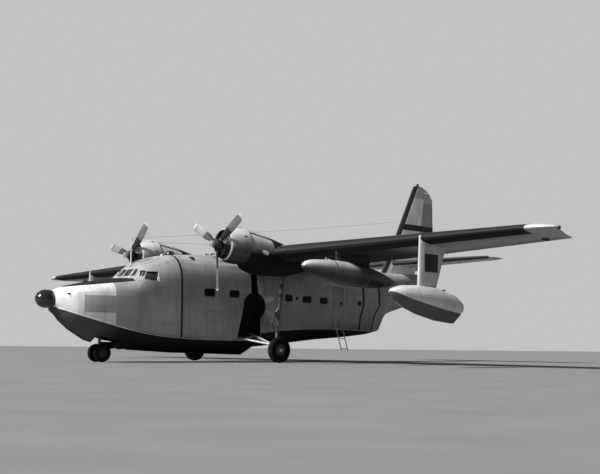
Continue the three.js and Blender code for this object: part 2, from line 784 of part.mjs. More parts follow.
for (const [name, side] of SIDES) {
  const y = side * TANK_Y;
  const pylon = loft([pylonRing(y, 3050, 7300, 1500, 0.1), pylonRing(y, 3950, 7300, 1700, 0.1)]);
  const outer = wingPiece(side, CENTRE_PANEL_Y, TIP_Y, (span) => fixedRing(span, FLAP_CUT));
  addNode(`drop_tank_${name}`, tank(side), "light");
  addNode(`tank_pylon_${name}`, cut(pylon, swollen(outer, 1), swollen(tank(side))), "skin");
}

// Fin, rudder, tailplane and elevators
const WHOLE = 0.97; // fraction of the chord where a surface with no moving part ends
const fin = join(
  loft(spans(FIN, finSpan, 3700, RUDDER_TO + 45).map((span) => fixedRing(span, FIN_CUT))),
  loft(spans(FIN, finSpan, RUDDER_TO + RUNNING_GAP, 7830).map((span) => fixedRing(span, WHOLE))),
);

function tailplaneHalf(side, from, to, cutAt) {
  return loft(spans(TAILPLANE, tailSpan(side), from, to).map((span) => fixedRing(span, cutAt)));
}

const tailplane = cut(
  join(...[1, -1].flatMap((side) => [
    tailplaneHalf(side, 0, ELEVATOR_TO + 45, TAIL_CUT),
    tailplaneHalf(side, ELEVATOR_TO + RUNNING_GAP, 4725, WHOLE),
  ])),
  ...[1, -1].map((side) => loft(
    spans(TAILPLANE, tailSpan(side), ELEVATOR_FROM, ELEVATOR_TO - 100).map((span) => coreRing(span, TAIL_CUT)),
  )),
);
const finCore = loft(spans(FIN, finSpan, 4400, RUDDER_TO - 200).map((span) => coreRing(span, FIN_CUT)));
const tailSolid = hullSpan(AFTERBODY, TAIL_JOINT + FIT / 2, 18950);
addNode("fin", cut(fin, finCore, swollen(tailSolid, 1), swollen(tailplane, 1)), "skin");
addNode("tailplane", tailplane, "skin");
addNode("rudder", loft(spans(FIN, finSpan, RUDDER_FROM, RUDDER_TO).map((span) => movingRing(span, FIN_CUT))), "skin");
for (const [name, side] of SIDES) {
  const rings = spans(TAILPLANE, tailSpan(side), ELEVATOR_FROM, ELEVATOR_TO).map((span) => movingRing(span, TAIL_CUT));
  addNode(`elevator_${name}`, loft(rings), "skin");
}

// Main wheels, each on an oleo leg from the nacelle and a pair of arms from the hull
const MAIN_RIM = 215;
const LEG_TOP = { station: 8470, y: 2420, z: 3480 };
const LEG_FOOT = { station: 8060, y: 2440, z: 400 };
const ARM_ROOTS = [[7370, 920], [8190, 1060]]; // station, z
const ARM_ROOT_Y = 775;
const ARM_END = { y: 2325, z: 640 };

function alongLeg(side, z) {
  const share = (z - LEG_FOOT.z) / (LEG_TOP.z - LEG_FOOT.z);
  const station = LEG_FOOT.station + (LEG_TOP.station - LEG_FOOT.station) * share;
  return point(station, side * (LEG_FOOT.y + (LEG_TOP.y - LEG_FOOT.y) * share), z);
}

function mainLeg(side) {
  const axleTip = MAIN_WHEEL.y + MAIN_WHEEL.width * 0.175 - 30 - FIT;
  const knee = alongLeg(side, 1730).add(new THREE.Vector3(190, 0, 0));
  return join(
    bar(alongLeg(side, LEG_FOOT.z), alongLeg(side, 1900), 52, 12),
    bar(alongLeg(side, 1850), alongLeg(side, LEG_TOP.z), 82, 14),
    bar(point(MAIN_WHEEL.station, side * LEG_FOOT.y, MAIN_WHEEL.radius),
      point(MAIN_WHEEL.station, side * axleTip, MAIN_WHEEL.radius), 38, 12),
    bar(alongLeg(side, 1380), knee, 32, 8),
    bar(alongLeg(side, 2080), knee, 32, 8),
  );
}

function mainArms(side) {
  const foot = alongLeg(side, ARM_END.z);
  const end = point(NOSE_X - foot.x, side * ARM_END.y, ARM_END.z);
  const arms = ARM_ROOTS.map(([station, z]) => bar(point(station, side * ARM_ROOT_Y, z), end, 48, 10, 38));
  const lug = bar(end.clone().add(new THREE.Vector3(0, 0, -70)), end.clone().add(new THREE.Vector3(0, 0, 70)), 45, 10);
  const tie = bar(point(ARM_ROOTS[0][0] + 150, side * 1120, 850), point(ARM_ROOTS[1][0] - 60, side * 1120, 960), 26, 8);
  return join(...arms, lug, tie);
}

for (const [name, side] of SIDES) {
  const { station, y, radius, width } = MAIN_WHEEL;
  addNode(`main_tyre_${name}`, wheelTyre(station, side * y, radius, radius, width, MAIN_RIM), "tyre");
  addNode(`main_rim_${name}`, wheelRim(station, side * y, radius, MAIN_RIM, width, side), "steel");
  addNode(`main_leg_${name}`, cut(mainLeg(side), swollen(nacelleBody(side), 1), swollen(wingCentre, 1)), "steel");
  addNode(`main_arms_${name}`, mainArms(side), "light");
}

// Nose wheels on a steered fork under a fixed leg
const NOSE_RIM = 150;
const STEER_JOINT_Z = 900;
const noseAxle = NOSE_WHEEL.y + NOSE_WHEEL.width * 0.175 - 30 - FIT;
const noseFork = join(
  bar(point(NOSE_WHEEL.station, 0, NOSE_WHEEL.radius - 20), point(NOSE_WHEEL.station, 0, STEER_JOINT_Z - FIT), 52, 14),
  bar(point(NOSE_WHEEL.station, -noseAxle, NOSE_WHEEL.radius), point(NOSE_WHEEL.station, noseAxle, NOSE_WHEEL.radius), 34, 12),
);
addNode("nose_fork", noseFork, "steel");
const noseLeg = join(
  bar(point(NOSE_WHEEL.station, 0, STEER_JOINT_Z), point(NOSE_WHEEL.station, 0, NOSE_WELL.top - FIT), 80, 14),
  bar(point(NOSE_WHEEL.station + 20, 0, STEER_JOINT_Z + 120), point(NOSE_WELL.to - 200, 0, NOSE_WELL.top - 50), 40, 10),
);
addNode("nose_leg", noseLeg, "steel");
for (const [name, side] of SIDES) {
  const { station, y, radius, width } = NOSE_WHEEL;
  addNode(`nose_tyre_${name}`, wheelTyre(station, side * y, radius, radius, width, NOSE_RIM), "tyre");
  addNode(`nose_rim_${name}`, wheelRim(station, side * y, radius, NOSE_RIM, width, side), "steel");
}

// The two nose wheel doors hang open from the edges of the well
const NOSE_DOOR = { from: 2620, to: 3320, top: 690, bottom: 430, y: 462, thick: 22 };
for (const [name, side] of SIDES) {
  const outline = new THREE.Shape();
  outline.moveTo(at(NOSE_DOOR.from), NOSE_DOOR.top);
  outline.lineTo(at(NOSE_DOOR.from + 60), NOSE_DOOR.bottom + 60);
  outline.lineTo(at(NOSE_DOOR.from + 200), NOSE_DOOR.bottom);
  outline.lineTo(at(NOSE_DOOR.to), NOSE_DOOR.bottom + 40);
  outline.lineTo(at(NOSE_DOOR.to), NOSE_DOOR.top);
  const door = new THREE.ExtrudeGeometry(outline, { depth: NOSE_DOOR.thick, bevelEnabled: false });
  door.rotateX(Math.PI / 2).translate(0, side * NOSE_DOOR.y + NOSE_DOOR.thick / 2, 0);
  addNode(`nose_door_${name}`, cut(door, swollen(bow, 1)), "black");
}

// Cockpit: glass behind the window frames, two seats and the instrument panel
const GLASS = { inset: HULL_WALL + 4, thick: 10, from: 3050, to: 4020, bottom: 2740, top: 3290 };
const glass = common(
  cut(
    hullSpan(FOREBODY, GLASS.from, GLASS.to, GLASS.inset),
    hullSpan(FOREBODY, GLASS.from - 10, GLASS.to + 10, GLASS.inset + GLASS.thick),
  ),
  block(GLASS.from - 10, GLASS.to, -2000, 2000, GLASS.bottom, GLASS.top),
);
addNode("cockpit_glass", glass, "glass");

const SEAT = { front: 3960, back: 4480, y: 480, width: 480, seatZ: 2190, backZ: 2900, thick: 110 };
for (const [name, side] of SIDES) {
  const outline = new THREE.Shape();
  outline.moveTo(at(SEAT.front), COCKPIT.floor + FIT);
  outline.lineTo(at(SEAT.front), SEAT.seatZ);
  outline.lineTo(at(SEAT.back - SEAT.thick), SEAT.seatZ - 30);
  outline.lineTo(at(SEAT.back - SEAT.thick + 60), SEAT.backZ);
  outline.lineTo(at(SEAT.back + 60), SEAT.backZ);
  outline.lineTo(at(SEAT.back), COCKPIT.floor + FIT);
  const seat = new THREE.ExtrudeGeometry(outline, { depth: SEAT.width, bevelEnabled: false });
  seat.rotateX(Math.PI / 2).translate(0, side * SEAT.y + SEAT.width / 2, 0);
  addNode(`pilot_seat_${name}`, facingOut(toGeometry(toSolid(seat))), "seat");
}

const panel = join(
  block(3330, 3420, -700, 700, 2250, 2760),
  block(3240, 3440, -700, 700, 2740, 2780),
  block(3340, 3700, -130, 130, COCKPIT.floor + FIT, 2400),
);
addNode("instrument_panel", panel, "black");

// Boarding ladder under the entry door
const LADDER = { from: 12090, width: 340, topY: 1100, top: 1735, lean: 210, out: 250, foot: 440, rungs: 4 };
const ladderPieces = [];
const ladderPoint = (across, share) => point(
  LADDER.from + LADDER.width * across + LADDER.lean * share,
  LADDER.topY + LADDER.out * share,
  LADDER.top + (LADDER.foot - LADDER.top) * share,
);
for (const across of [0, 1]) ladderPieces.push(bar(ladderPoint(across, 0), ladderPoint(across, 1), 18, 8));
for (let rung = 0; rung < LADDER.rungs; rung++) {
  const share = 0.03 + (rung / (LADDER.rungs - 1)) * 0.9;
  ladderPieces.push(bar(ladderPoint(0, share), ladderPoint(1, share), 14, 8));
}
addNode("boarding_ladder", join(...ladderPieces), "steel");

export default plane;
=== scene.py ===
import json
import math

import bmesh
import bpy
from mathutils import Matrix, Vector
from mathutils.bvhtree import BVHTree

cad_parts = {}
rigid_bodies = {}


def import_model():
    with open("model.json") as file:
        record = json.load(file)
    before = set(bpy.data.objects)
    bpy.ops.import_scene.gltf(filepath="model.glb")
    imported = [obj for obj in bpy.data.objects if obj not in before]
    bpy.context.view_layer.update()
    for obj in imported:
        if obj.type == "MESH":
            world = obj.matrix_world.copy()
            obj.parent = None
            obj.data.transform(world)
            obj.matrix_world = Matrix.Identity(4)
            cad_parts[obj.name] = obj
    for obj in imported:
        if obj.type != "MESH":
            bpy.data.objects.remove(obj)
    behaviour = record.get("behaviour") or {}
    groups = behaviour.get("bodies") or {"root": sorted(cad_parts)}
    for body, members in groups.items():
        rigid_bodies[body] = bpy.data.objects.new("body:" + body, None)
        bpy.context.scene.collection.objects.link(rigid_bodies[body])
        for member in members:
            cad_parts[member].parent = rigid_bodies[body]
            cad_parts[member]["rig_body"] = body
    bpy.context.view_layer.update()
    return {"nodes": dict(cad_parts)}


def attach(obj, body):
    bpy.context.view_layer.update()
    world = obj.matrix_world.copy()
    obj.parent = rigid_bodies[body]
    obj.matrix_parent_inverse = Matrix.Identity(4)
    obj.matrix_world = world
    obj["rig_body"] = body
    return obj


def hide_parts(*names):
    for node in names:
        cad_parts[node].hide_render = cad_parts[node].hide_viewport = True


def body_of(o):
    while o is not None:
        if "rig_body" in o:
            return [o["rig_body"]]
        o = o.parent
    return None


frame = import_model()

# Places, in metres. A station is a distance aft of the nose tip.
NOSE_X = 9.58
SIDES = {"port": 1, "starboard": -1}

# Hull: the chine as (station, height), and panels as (stations, heights)
CHINE = [(0.56, 1.79), (1.15, 1.55), (1.75, 1.37), (2.7, 1.13), (4.2, 0.89), (6.2, 0.80), (8.36, 0.80),
         (8.37, 1.085), (9.3, 1.19), (10.65, 1.27), (13.0, 1.28), (15.46, 1.275)]
HULL_JOINT = 4.87
DARK_BANDS = [(HULL_JOINT, 0.085), (13.84, 0.125), (14.85, 0.125)]  # station and width
BOW_PAINT_END = 2.33
DECK_FOOT = 2.375
DECK_RISE = 0.12  # for each metre of station
DECK_TOP = 2.86
DECK_END = 3.156
ROOF_EDGE = 3.5
BOTTOM_END = 15.5
BOW_PANEL = ((1.29, BOW_PAINT_END), (1.645, 2.21))
DOOR_PANEL = ((11.99, 12.81), (2.14, 3.06))
WHEEL_WELL = ((7.49, 8.63), (0.9, 3.4))
WELL_WALL = [(1.3, 1.205), (2.6, 1.205), (2.9, 1.175), (3.1, 1.125), (3.3, 1.06)]  # height and distance out

# Wings and tail: leading edges as (distance out or height, station), and the widths of their rubber
WING_LEAD = [(4.05, 7.15), (13.9, 7.38)]
WING_BOOT = 0.42
WING_BOOT_START = 3.3
TAILPLANE_LEAD = [(0.0, 16.35), (4.3, 17.01), (4.62, 17.15)]
TAILPLANE_BOOT = 0.2
FIN_LEAD = [(3.7, 15.75), (4.6, 16.28), (7.28, 17.61), (7.64, 17.79), (7.83, 17.92)]
FIN_BOOT = 0.24
FIN_BAND = (5.77, 6.04)
FIN_CAP = 7.28
RUDDER_CAP = 7.1

# Engines, floats, tanks and wheels
ENGINE_Y = 2.88
ENGINE_Z = 4.02
COWL_FRONT = 5.37
COWL_REAR = 6.15
PROP_STATION = 5.15
BLADE_START = {"port": 58.0, "starboard": 46.0}  # degrees from straight up
FLOAT_Y = 10.2
FLOAT_CHINE = [(6.06, 2.17), (6.5, 1.99), (7.1, 1.84), (7.9, 1.69), (8.78, 1.58), (9.22, 1.79)]
FLOAT_PYLON_PANEL = ((7.44, 8.06), (2.82, 3.36))
TANK_Y = 6.5
TANK_NOSE = (5.88, 3.145)  # station and height
TANK_TILT = math.radians(5.3)
WHEEL_STATION = 8.06
WHEEL_Y = 2.685
WHEEL_RADIUS = 0.46

# Shading of edges
SMOOTH_ANGLE = math.radians(32)
FITTING_ANGLE = math.radians(30)
CAP_FACING = 0.97  # past this share of X a face is the flat end of a hull section

# Tones that several finishes share, and the upward share of a normal that counts as an underside
MATT_BLACK = 0.012
BOOT_RUBBER = 0.02
UNDERSIDE = -0.2

# Camera: its place, and in degrees its heading aft of straight to starboard, its upward tilt and its roll
CAMERA_PLACE = (23.366, 29.805, 0.579)
CAMERA_TURNS = (40.014, 6.456, 0.539)
CAMERA_LENS = 58.22
SUN_FROM = (1.2, -0.12, 0.95)
FLOOR_RADIUS = 260


def at(station, y, z):
    """A point from its station, its side distance and its height."""
    return Vector((NOSE_X - station, y, z))


def rise(height):
    return Vector((0, 0, height))


# Node trees

class Graph:
    """A node tree that is built by short calls, each of which returns the socket it made."""

    def __init__(self, tree):
        self.tree = tree
        self.count = 0

    def add(self, kind, **settings):
        node = self.tree.nodes.new(kind)
        node.location = (190 * (self.count % 10), -240 * (self.count // 10))
        self.count += 1
        for key, value in settings.items():
            setattr(node, key, value)
        return node

    def feed(self, socket, value):
        if isinstance(value, bpy.types.NodeSocket):
            self.tree.links.new(value, socket)
        else:
            socket.default_value = value

    def math(self, operation, *values):
        node = self.add("ShaderNodeMath", operation=operation)
        for socket, value in zip(node.inputs, values):
            self.feed(socket, value)
        return node.outputs[0]

    def plus(self, first, second):
        return self.math("ADD", first, second)

    def minus(self, first, second):
        return self.math("SUBTRACT", first, second)

    def times(self, *values):
        total = values[0]
        for value in values[1:]:
            total = self.math("MULTIPLY", total, value)
        return total

    every = times  # masks of 0 and 1 that all have to hold

    def less(self, value, limit):
        return self.math("LESS_THAN", value, limit)

    def more(self, value, limit):
        return self.math("GREATER_THAN", value, limit)

    def between(self, value, low, high):
        return self.every(self.more(value, low), self.less(value, high))

    def distance(self, across, upward):
        """The length of the straight line that goes so far across and upward."""
        return self.math("SQRT", self.plus(self.math("POWER", across, 2.0), self.math("POWER", upward, 2.0)))

    def mix(self, mask, low, high):
        node = self.add("ShaderNodeMix")
        for index, value in ((0, mask), (2, low), (3, high)):
            self.feed(node.inputs[index], value)
        return node.outputs[0]

    def ramp(self, value, start, end, low=0.0, high=1.0):
        """low before start, high after end, and a straight run between them."""
        node = self.add("ShaderNodeMapRange")
        for index, given in enumerate((value, start, end, low, high)):
            self.feed(node.inputs[index], given)
        return node.outputs[0]

    def fall(self, value, start, end):
        """1 before start and 0 after end."""
        return self.ramp(value, start, end, 1.0, 0.0)

    def steps(self, value, points):
        """A broken line through the points, held level beyond its ends."""
        total = points[0][1]
        for (x0, y0), (x1, y1) in zip(points, points[1:]):
            total = self.plus(self.ramp(value, x0, x1, 0.0, y1 - y0), total)
        return total

    def noise(self, vector, scale, detail=3.0, stretch=(1, 1, 1)):
        mapping = self.add("ShaderNodeMapping")
        self.feed(mapping.inputs["Vector"], vector)
        mapping.inputs["Scale"].default_value = stretch
        node = self.add("ShaderNodeTexNoise")
        self.feed(node.inputs["Vector"], mapping.outputs[0])
        node.inputs["Scale"].default_value = scale
        node.inputs["Detail"].default_value = detail
        return node.outputs[0]


def effect(name, vectors, numbers, outputs):
    """An empty node group with these sockets, and the graph inside it."""
    tree = bpy.data.node_groups.new(name, "ShaderNodeTree")
    for label in vectors:
        tree.interface.new_socket(label, in_out="INPUT", socket_type="NodeSocketVector")
    for label, value in numbers.items():
        socket = tree.interface.new_socket(label, in_out="INPUT", socket_type="NodeSocketFloat")
        socket.default_value = value
    for label in outputs:
        tree.interface.new_socket(label, in_out="OUTPUT", socket_type="NodeSocketFloat")
    graph = Graph(tree)
    return graph, graph.add("NodeGroupInput").outputs, graph.add("NodeGroupOutput").inputs


FLAT_FACING = 0.62  # past this share of Z a sheet is a top or a bottom, and its stringers are spaced along Y
RIVET_INSET = 0.022  # from a joint to the row of rivets beside it
RIVET_PITCH = 0.045
RIVET_RADII = (0.003, 0.006)


def make_sheet_seams():
    """Sheet joints, rivet rows and a tone for each sheet, with frames along X and stringers across them."""
    graph, given, out = effect("sheet_seams", ["Place", "Facing"],
                               {"Frame pitch": 0.9, "Stringer pitch": 0.5, "Joint width": 0.006},
                               ["Joint", "Rivet", "Sheet tone"])
    place = graph.add("ShaderNodeSeparateXYZ")
    facing = graph.add("ShaderNodeSeparateXYZ")
    graph.feed(place.inputs[0], given["Place"])
    graph.feed(facing.inputs[0], given["Facing"])
    along = place.outputs[0]
    flat = graph.more(graph.math("ABSOLUTE", facing.outputs[2]), FLAT_FACING)
    across = graph.mix(flat, place.outputs[2], place.outputs[1])
    gaps = []
    cells = []
    for value, pitch in ((along, given["Frame pitch"]), (across, given["Stringer pitch"])):
        gaps.append(graph.math("PINGPONG", value, graph.times(pitch, 0.5)))
        cells.append(graph.math("FLOOR", graph.math("DIVIDE", value, pitch)))
    graph.feed(out["Joint"], graph.fall(graph.math("MINIMUM", *gaps), 0.0, given["Joint width"]))
    dots = []
    for gap, run in ((gaps[0], across), (gaps[1], along)):
        reach = graph.distance(graph.minus(gap, RIVET_INSET), graph.math("PINGPONG", run, RIVET_PITCH / 2))
        dots.append(graph.fall(reach, *RIVET_RADII))
    graph.feed(out["Rivet"], graph.math("MAXIMUM", *dots))
    cell = graph.add("ShaderNodeCombineXYZ")
    for socket, value in zip(cell.inputs, (*cells, flat)):
        graph.feed(socket, value)
    random = graph.add("ShaderNodeTexWhiteNoise")
    graph.feed(random.inputs["Vector"], cell.outputs[0])
    graph.feed(out["Sheet tone"], random.outputs["Value"])
    return graph.tree


def make_weather():
    """Broad fading, rain streaks down the sides, oil drawn aft by the air, and a fine grain."""
    graph, given, out = effect("weather", ["Place"], {}, ["Fading", "Streaks", "Smears", "Grain"])
    place = given["Place"]
    graph.feed(out["Fading"], graph.noise(place, 0.9, detail=4.0))
    graph.feed(out["Streaks"], graph.ramp(graph.noise(place, 6.0, stretch=(1, 1, 0.12)), 0.48, 0.72))
    graph.feed(out["Smears"], graph.ramp(graph.noise(place, 5.0, stretch=(0.1, 1, 1)), 0.5, 0.72))
    graph.feed(out["Grain"], graph.noise(place, 55.0, detail=2.0))
    return graph.tree


SEAMS = make_sheet_seams()
WEATHER = make_weather()
FADE_SPAN = (0.3, 0.7)  # the part of the fading noise that is used


class Finish(Graph):
    """One material: a tone, a roughness and a height that zones change, worn by the shared effects."""

    def __init__(self, name, tone=None, roughness=None, metallic=0.0, coat=0.0):
        self.material = bpy.data.materials.new(name)
        self.material.use_nodes = True
        tree = self.material.node_tree
        tree.nodes.clear()
        super().__init__(tree)
        self.place = self.add("ShaderNodeTexCoord").outputs["Object"]
        self.facing = self.add("ShaderNodeNewGeometry").outputs["True Normal"]
        split = self.add("ShaderNodeSeparateXYZ")
        self.feed(split.inputs[0], self.place)
        self.station = self.minus(NOSE_X, split.outputs[0])
        self.y = split.outputs[1]
        self.side = self.math("ABSOLUTE", split.outputs[1])
        self.z = split.outputs[2]
        normal = self.add("ShaderNodeSeparateXYZ")
        self.feed(normal.inputs[0], self.facing)
        self.normal_y = normal.outputs[1]
        self.normal_z = normal.outputs[2]
        self.tone = tone
        self.roughness = roughness
        self.height = 0.0
        self.metallic = metallic
        self.coat = coat

    def zone(self, mask, tone, roughness=None, metallic=None):
        """Another tone where the mask is 1, and where given another roughness and metalness."""
        self.tone = self.mix(mask, self.tone, tone)
        if roughness is not None:
            self.roughness = self.mix(mask, self.roughness, roughness)
        if metallic is not None:
            self.metallic = self.mix(mask, self.metallic, metallic)

    def raise_by(self, mask, height):
        self.height = self.plus(self.height, self.times(mask, height))

    def group(self, tree, **values):
        node = self.add("ShaderNodeGroup", node_tree=tree)
        for label, value in values.items():
            self.feed(node.inputs[label.replace("_", " ")], value)
        return node.outputs

    def panel(self, stations, heights):
        """A mask over a stretch of the side."""
        return self.every(self.between(self.station, *stations), self.between(self.z, *heights))

    def boot(self, run, edge, width):
        """A mask over the strip behind a leading edge, whose stations are given along a run."""
        return self.less(self.station, self.plus(self.steps(run, edge), width))

    def from_shaft(self):
        """Distances across from, above and away from the shaft of an engine."""
        across = self.minus(self.side, ENGINE_Y)
        above = self.minus(self.z, ENGINE_Z)
        return across, above, self.distance(across, above)

    def sheets(self, frame_pitch, stringer_pitch, variety=0.06):
        """Joints, rivets and a slightly different tone on each sheet of metal."""
        seams = self.group(SEAMS, Place=self.place, Facing=self.facing, Frame_pitch=frame_pitch,
                           Stringer_pitch=stringer_pitch, Joint_width=0.006)
        change = self.ramp(seams["Sheet tone"], 0.0, 1.0, 1.0 - variety, 1.0 + variety)
        self.tone = self.times(self.tone, change)
        self.tone = self.mix(seams["Joint"], self.tone, self.times(self.tone, 0.45))
        self.raise_by(seams["Joint"], -1.0)
        self.raise_by(seams["Rivet"], 0.6)

    def ribs(self, run, half_pitch):
        """Doped fabric over ribs: a shallow rise along each rib, with its tape."""
        rib = self.math("PINGPONG", run, half_pitch)
        tape = self.fall(rib, 0.012, 0.022)
        self.tone = self.times(self.tone, self.mix(tape, 1.0, 0.88))
        self.raise_by(tape, 1.2)
        self.raise_by(self.fall(rib, 0.0, half_pitch), 2.0)

    def worn(self, fading=0.1, streaks=0.12, smears=0.08, grain=0.25):
        """Fading, streaks, smears and grain in the given strengths."""
        weather = self.group(WEATHER, Place=self.place)
        fade = self.ramp(weather["Fading"], *FADE_SPAN, 1.0 - fading, 1.0 + fading)
        self.tone = self.times(self.tone, fade)
        for label, strength in (("Streaks", streaks), ("Smears", smears)):
            self.tone = self.times(self.tone, self.ramp(weather[label], 0.0, 1.0, 1.0, 1.0 - strength))
        self.roughness = self.plus(self.roughness, self.ramp(weather["Fading"], *FADE_SPAN, -0.06, 0.08))
        self.raise_by(weather["Grain"], grain)

    def done(self, bump=0.0015, specular=0.5):
        """Joins all to the surface shader and gives back the material."""
        shader = self.add("ShaderNodeBsdfPrincipled")
        shader.inputs["Specular IOR Level"].default_value = specular
        self.feed(shader.inputs["Base Color"], self.tone)
        self.feed(shader.inputs["Roughness"], self.roughness)
        self.feed(shader.inputs["Metallic"], self.metallic)
        if self.coat:
            shader.inputs["Coat Weight"].default_value = self.coat
            shader.inputs["Coat Roughness"].default_value = 0.12
        relief = self.add("ShaderNodeBump")
        relief.inputs["Distance"].default_value = bump
        relief.inputs["Strength"].default_value = 0.8
        self.feed(relief.inputs["Height"], self.height)
        self.feed(shader.inputs["Normal"], relief.outputs[0])
        end = self.add("ShaderNodeOutputMaterial")
        self.tree.links.new(shader.outputs[0], end.inputs[0])
        return self.material


# Finishes

def hull_paint():
    f = Finish("hull_paint", 0.37, 0.42, metallic=0.15)
    # Partly painted shade: aft of the joint the hull is a little darker, standing in for the wing's shade
    # over it
    f.zone(f.more(f.station, HULL_JOINT), 0.32)
    # Painted light: above the roof edge the hull is lighter, standing in for sun on the roof
    f.zone(f.more(f.z, ROOF_EDGE), 0.4)
    f.zone(f.less(f.station, BOW_PAINT_END), 0.82)
    f.zone(f.panel(*BOW_PANEL), 0.4)
    f.zone(f.panel(*DOOR_PANEL), 0.28)
    f.sheets(0.92, 0.46, variety=0.05)
    f.worn(0.12, 0.2, 0.1)
    deck_edge = f.plus(f.times(f.station, DECK_RISE), DECK_FOOT)
    deck = f.every(f.more(f.z, deck_edge), f.less(f.station, DECK_END), f.less(f.z, DECK_TOP))
    f.zone(deck, MATT_BLACK, 0.75)
    for middle, width in DARK_BANDS:
        f.zone(f.between(f.station, middle - width / 2, middle + width / 2), MATT_BLACK, 0.6, 0.0)
    chine = f.plus(f.steps(f.station, CHINE), 0.012)
    bottom = f.every(f.less(f.z, chine), f.less(f.station, BOTTOM_END))
    # The bottom is black paint; its lighter bow end is a painted sheen of the ground on it
    f.zone(bottom, f.steps(f.station, [(1.9, 0.07), (2.6, 0.01)]), 0.85, 0.0)
    # Painted shade: inside the wheel well the hull is near black, standing in for shade in the recess
    f.zone(f.every(f.panel(*WHEEL_WELL), f.less(f.side, f.steps(f.z, WELL_WALL))), 0.008, 0.9, 0.0)
    return f.done(specular=0.3)


def wing_paint():
    f = Finish("wing_paint", 0.36, 0.4, metallic=0.25)
    # Painted shade: undersides are darker, and near black inboard of the outer wing, standing in for the
    # shade under the wing
    f.zone(f.less(f.normal_z, UNDERSIDE), 0.22)
    under = f.fall(f.normal_z, UNDERSIDE, -0.05)
    f.zone(f.every(under, f.fall(f.side, 8.2, 9.8)), 0.015, 0.7, 0.0)
    f.sheets(0.55, 0.62, variety=0.08)
    f.worn(0.12, 0.0, 0.2)
    boot = f.every(f.boot(f.side, WING_LEAD, WING_BOOT), f.more(f.side, WING_BOOT_START))
    f.zone(boot, BOOT_RUBBER, 0.6)
    # Painted shade: the underside of the boot is darker still
    lip = f.every(boot, f.less(f.normal_z, -0.35))
    f.zone(lip, 0.006, 0.9, 0.0)
    return f.done(specular=0.25)


def tip_paint():
    f = Finish("tip_paint", 0.55, 0.4, metallic=0.1)
    f.sheets(0.8, 0.9)
    f.worn(0.08, 0.0, 0.12)
    # Painted shade: the underside of the tip is darker, standing in for shade under it
    f.zone(f.less(f.normal_z, -0.25), 0.3, 0.5)
    return f.done()


def fabric_paint():
    f = Finish("fabric_paint", 0.36, 0.6)
    # Painted shade: undersides are darker, standing in for shade under the surfaces
    f.zone(f.less(f.normal_z, UNDERSIDE), 0.2)
    f.ribs(f.side, 0.19)
    f.worn(0.1, 0.1, 0.16)
    return f.done(bump=0.004)


def rudder_paint():
    f = Finish("rudder_paint", 0.36, 0.6)
    f.ribs(f.z, 0.17)
    f.worn(0.1, 0.16, 0.1)
    f.zone(f.between(f.z, *FIN_BAND), 0.015, 0.5)
    f.zone(f.more(f.z, RUDDER_CAP), 0.5, 0.5)
    return f.done(bump=0.004)


def fin_paint():
    f = Finish("fin_paint", 0.85, 0.42)
    f.sheets(0.6, 0.5)
    f.worn(0.1, 0.14, 0.1)
    f.zone(f.between(f.z, *FIN_BAND), 0.015, 0.45)
    f.zone(f.more(f.z, FIN_CAP), 0.5, 0.45)
    f.zone(f.boot(f.z, FIN_LEAD, FIN_BOOT), BOOT_RUBBER, 0.6)
    return f.done()


def tailplane_paint():
    f = Finish("tailplane_paint", 0.36, 0.42, metallic=0.1)
    # Painted light: the underside is lighter, standing in for light falling on it
    f.zone(f.less(f.normal_z, UNDERSIDE), 0.5)
    f.sheets(0.6, 0.55)
    f.worn(0.1, 0.0, 0.18)
    f.zone(f.boot(f.side, TAILPLANE_LEAD, TAILPLANE_BOOT), BOOT_RUBBER, 0.6)
    return f.done()


def nacelle_paint():
    """Painted light above and painted shade below, near black, with soot, a black crown, a thin stripe and a
    black tail.
    """
    f = Finish("nacelle_paint")
    # Painted light and shade: light on top, fading to near black below, standing in for the shade under the
    # nacelle and the wing
    f.tone = f.ramp(f.z, 3.72, 4.2, 0.008, 0.62)
    f.roughness = f.ramp(f.z, 3.72, 4.0, 0.85, 0.42)
    f.sheets(0.6, 0.4, variety=0.08)
    f.worn(0.14, 0.0, 0.35)
    soot = f.ramp(f.noise(f.place, 2.2, detail=4.0, stretch=(0.35, 1, 1)), 0.42, 0.66)
    low = f.fall(f.z, 3.2, 3.9)
    f.tone = f.times(f.tone, f.ramp(f.every(soot, low), 0.0, 1.0, 1.0, 0.35))
    crown = f.steps(f.station, [(6.2, 4.57), (6.7, 4.5), (7.2, 4.33)])
    f.zone(f.more(f.z, crown), MATT_BLACK, 0.7)
    stripe = f.steps(f.station, [(6.28, 4.46), (7.29, 4.27)])
    f.zone(f.between(f.minus(f.z, stripe), -0.035, 0.03), MATT_BLACK, 0.7)
    f.zone(f.every(f.more(f.station, 7.2), f.more(f.z, 3.9)), MATT_BLACK, 0.7)
    return f.done(specular=0.2)


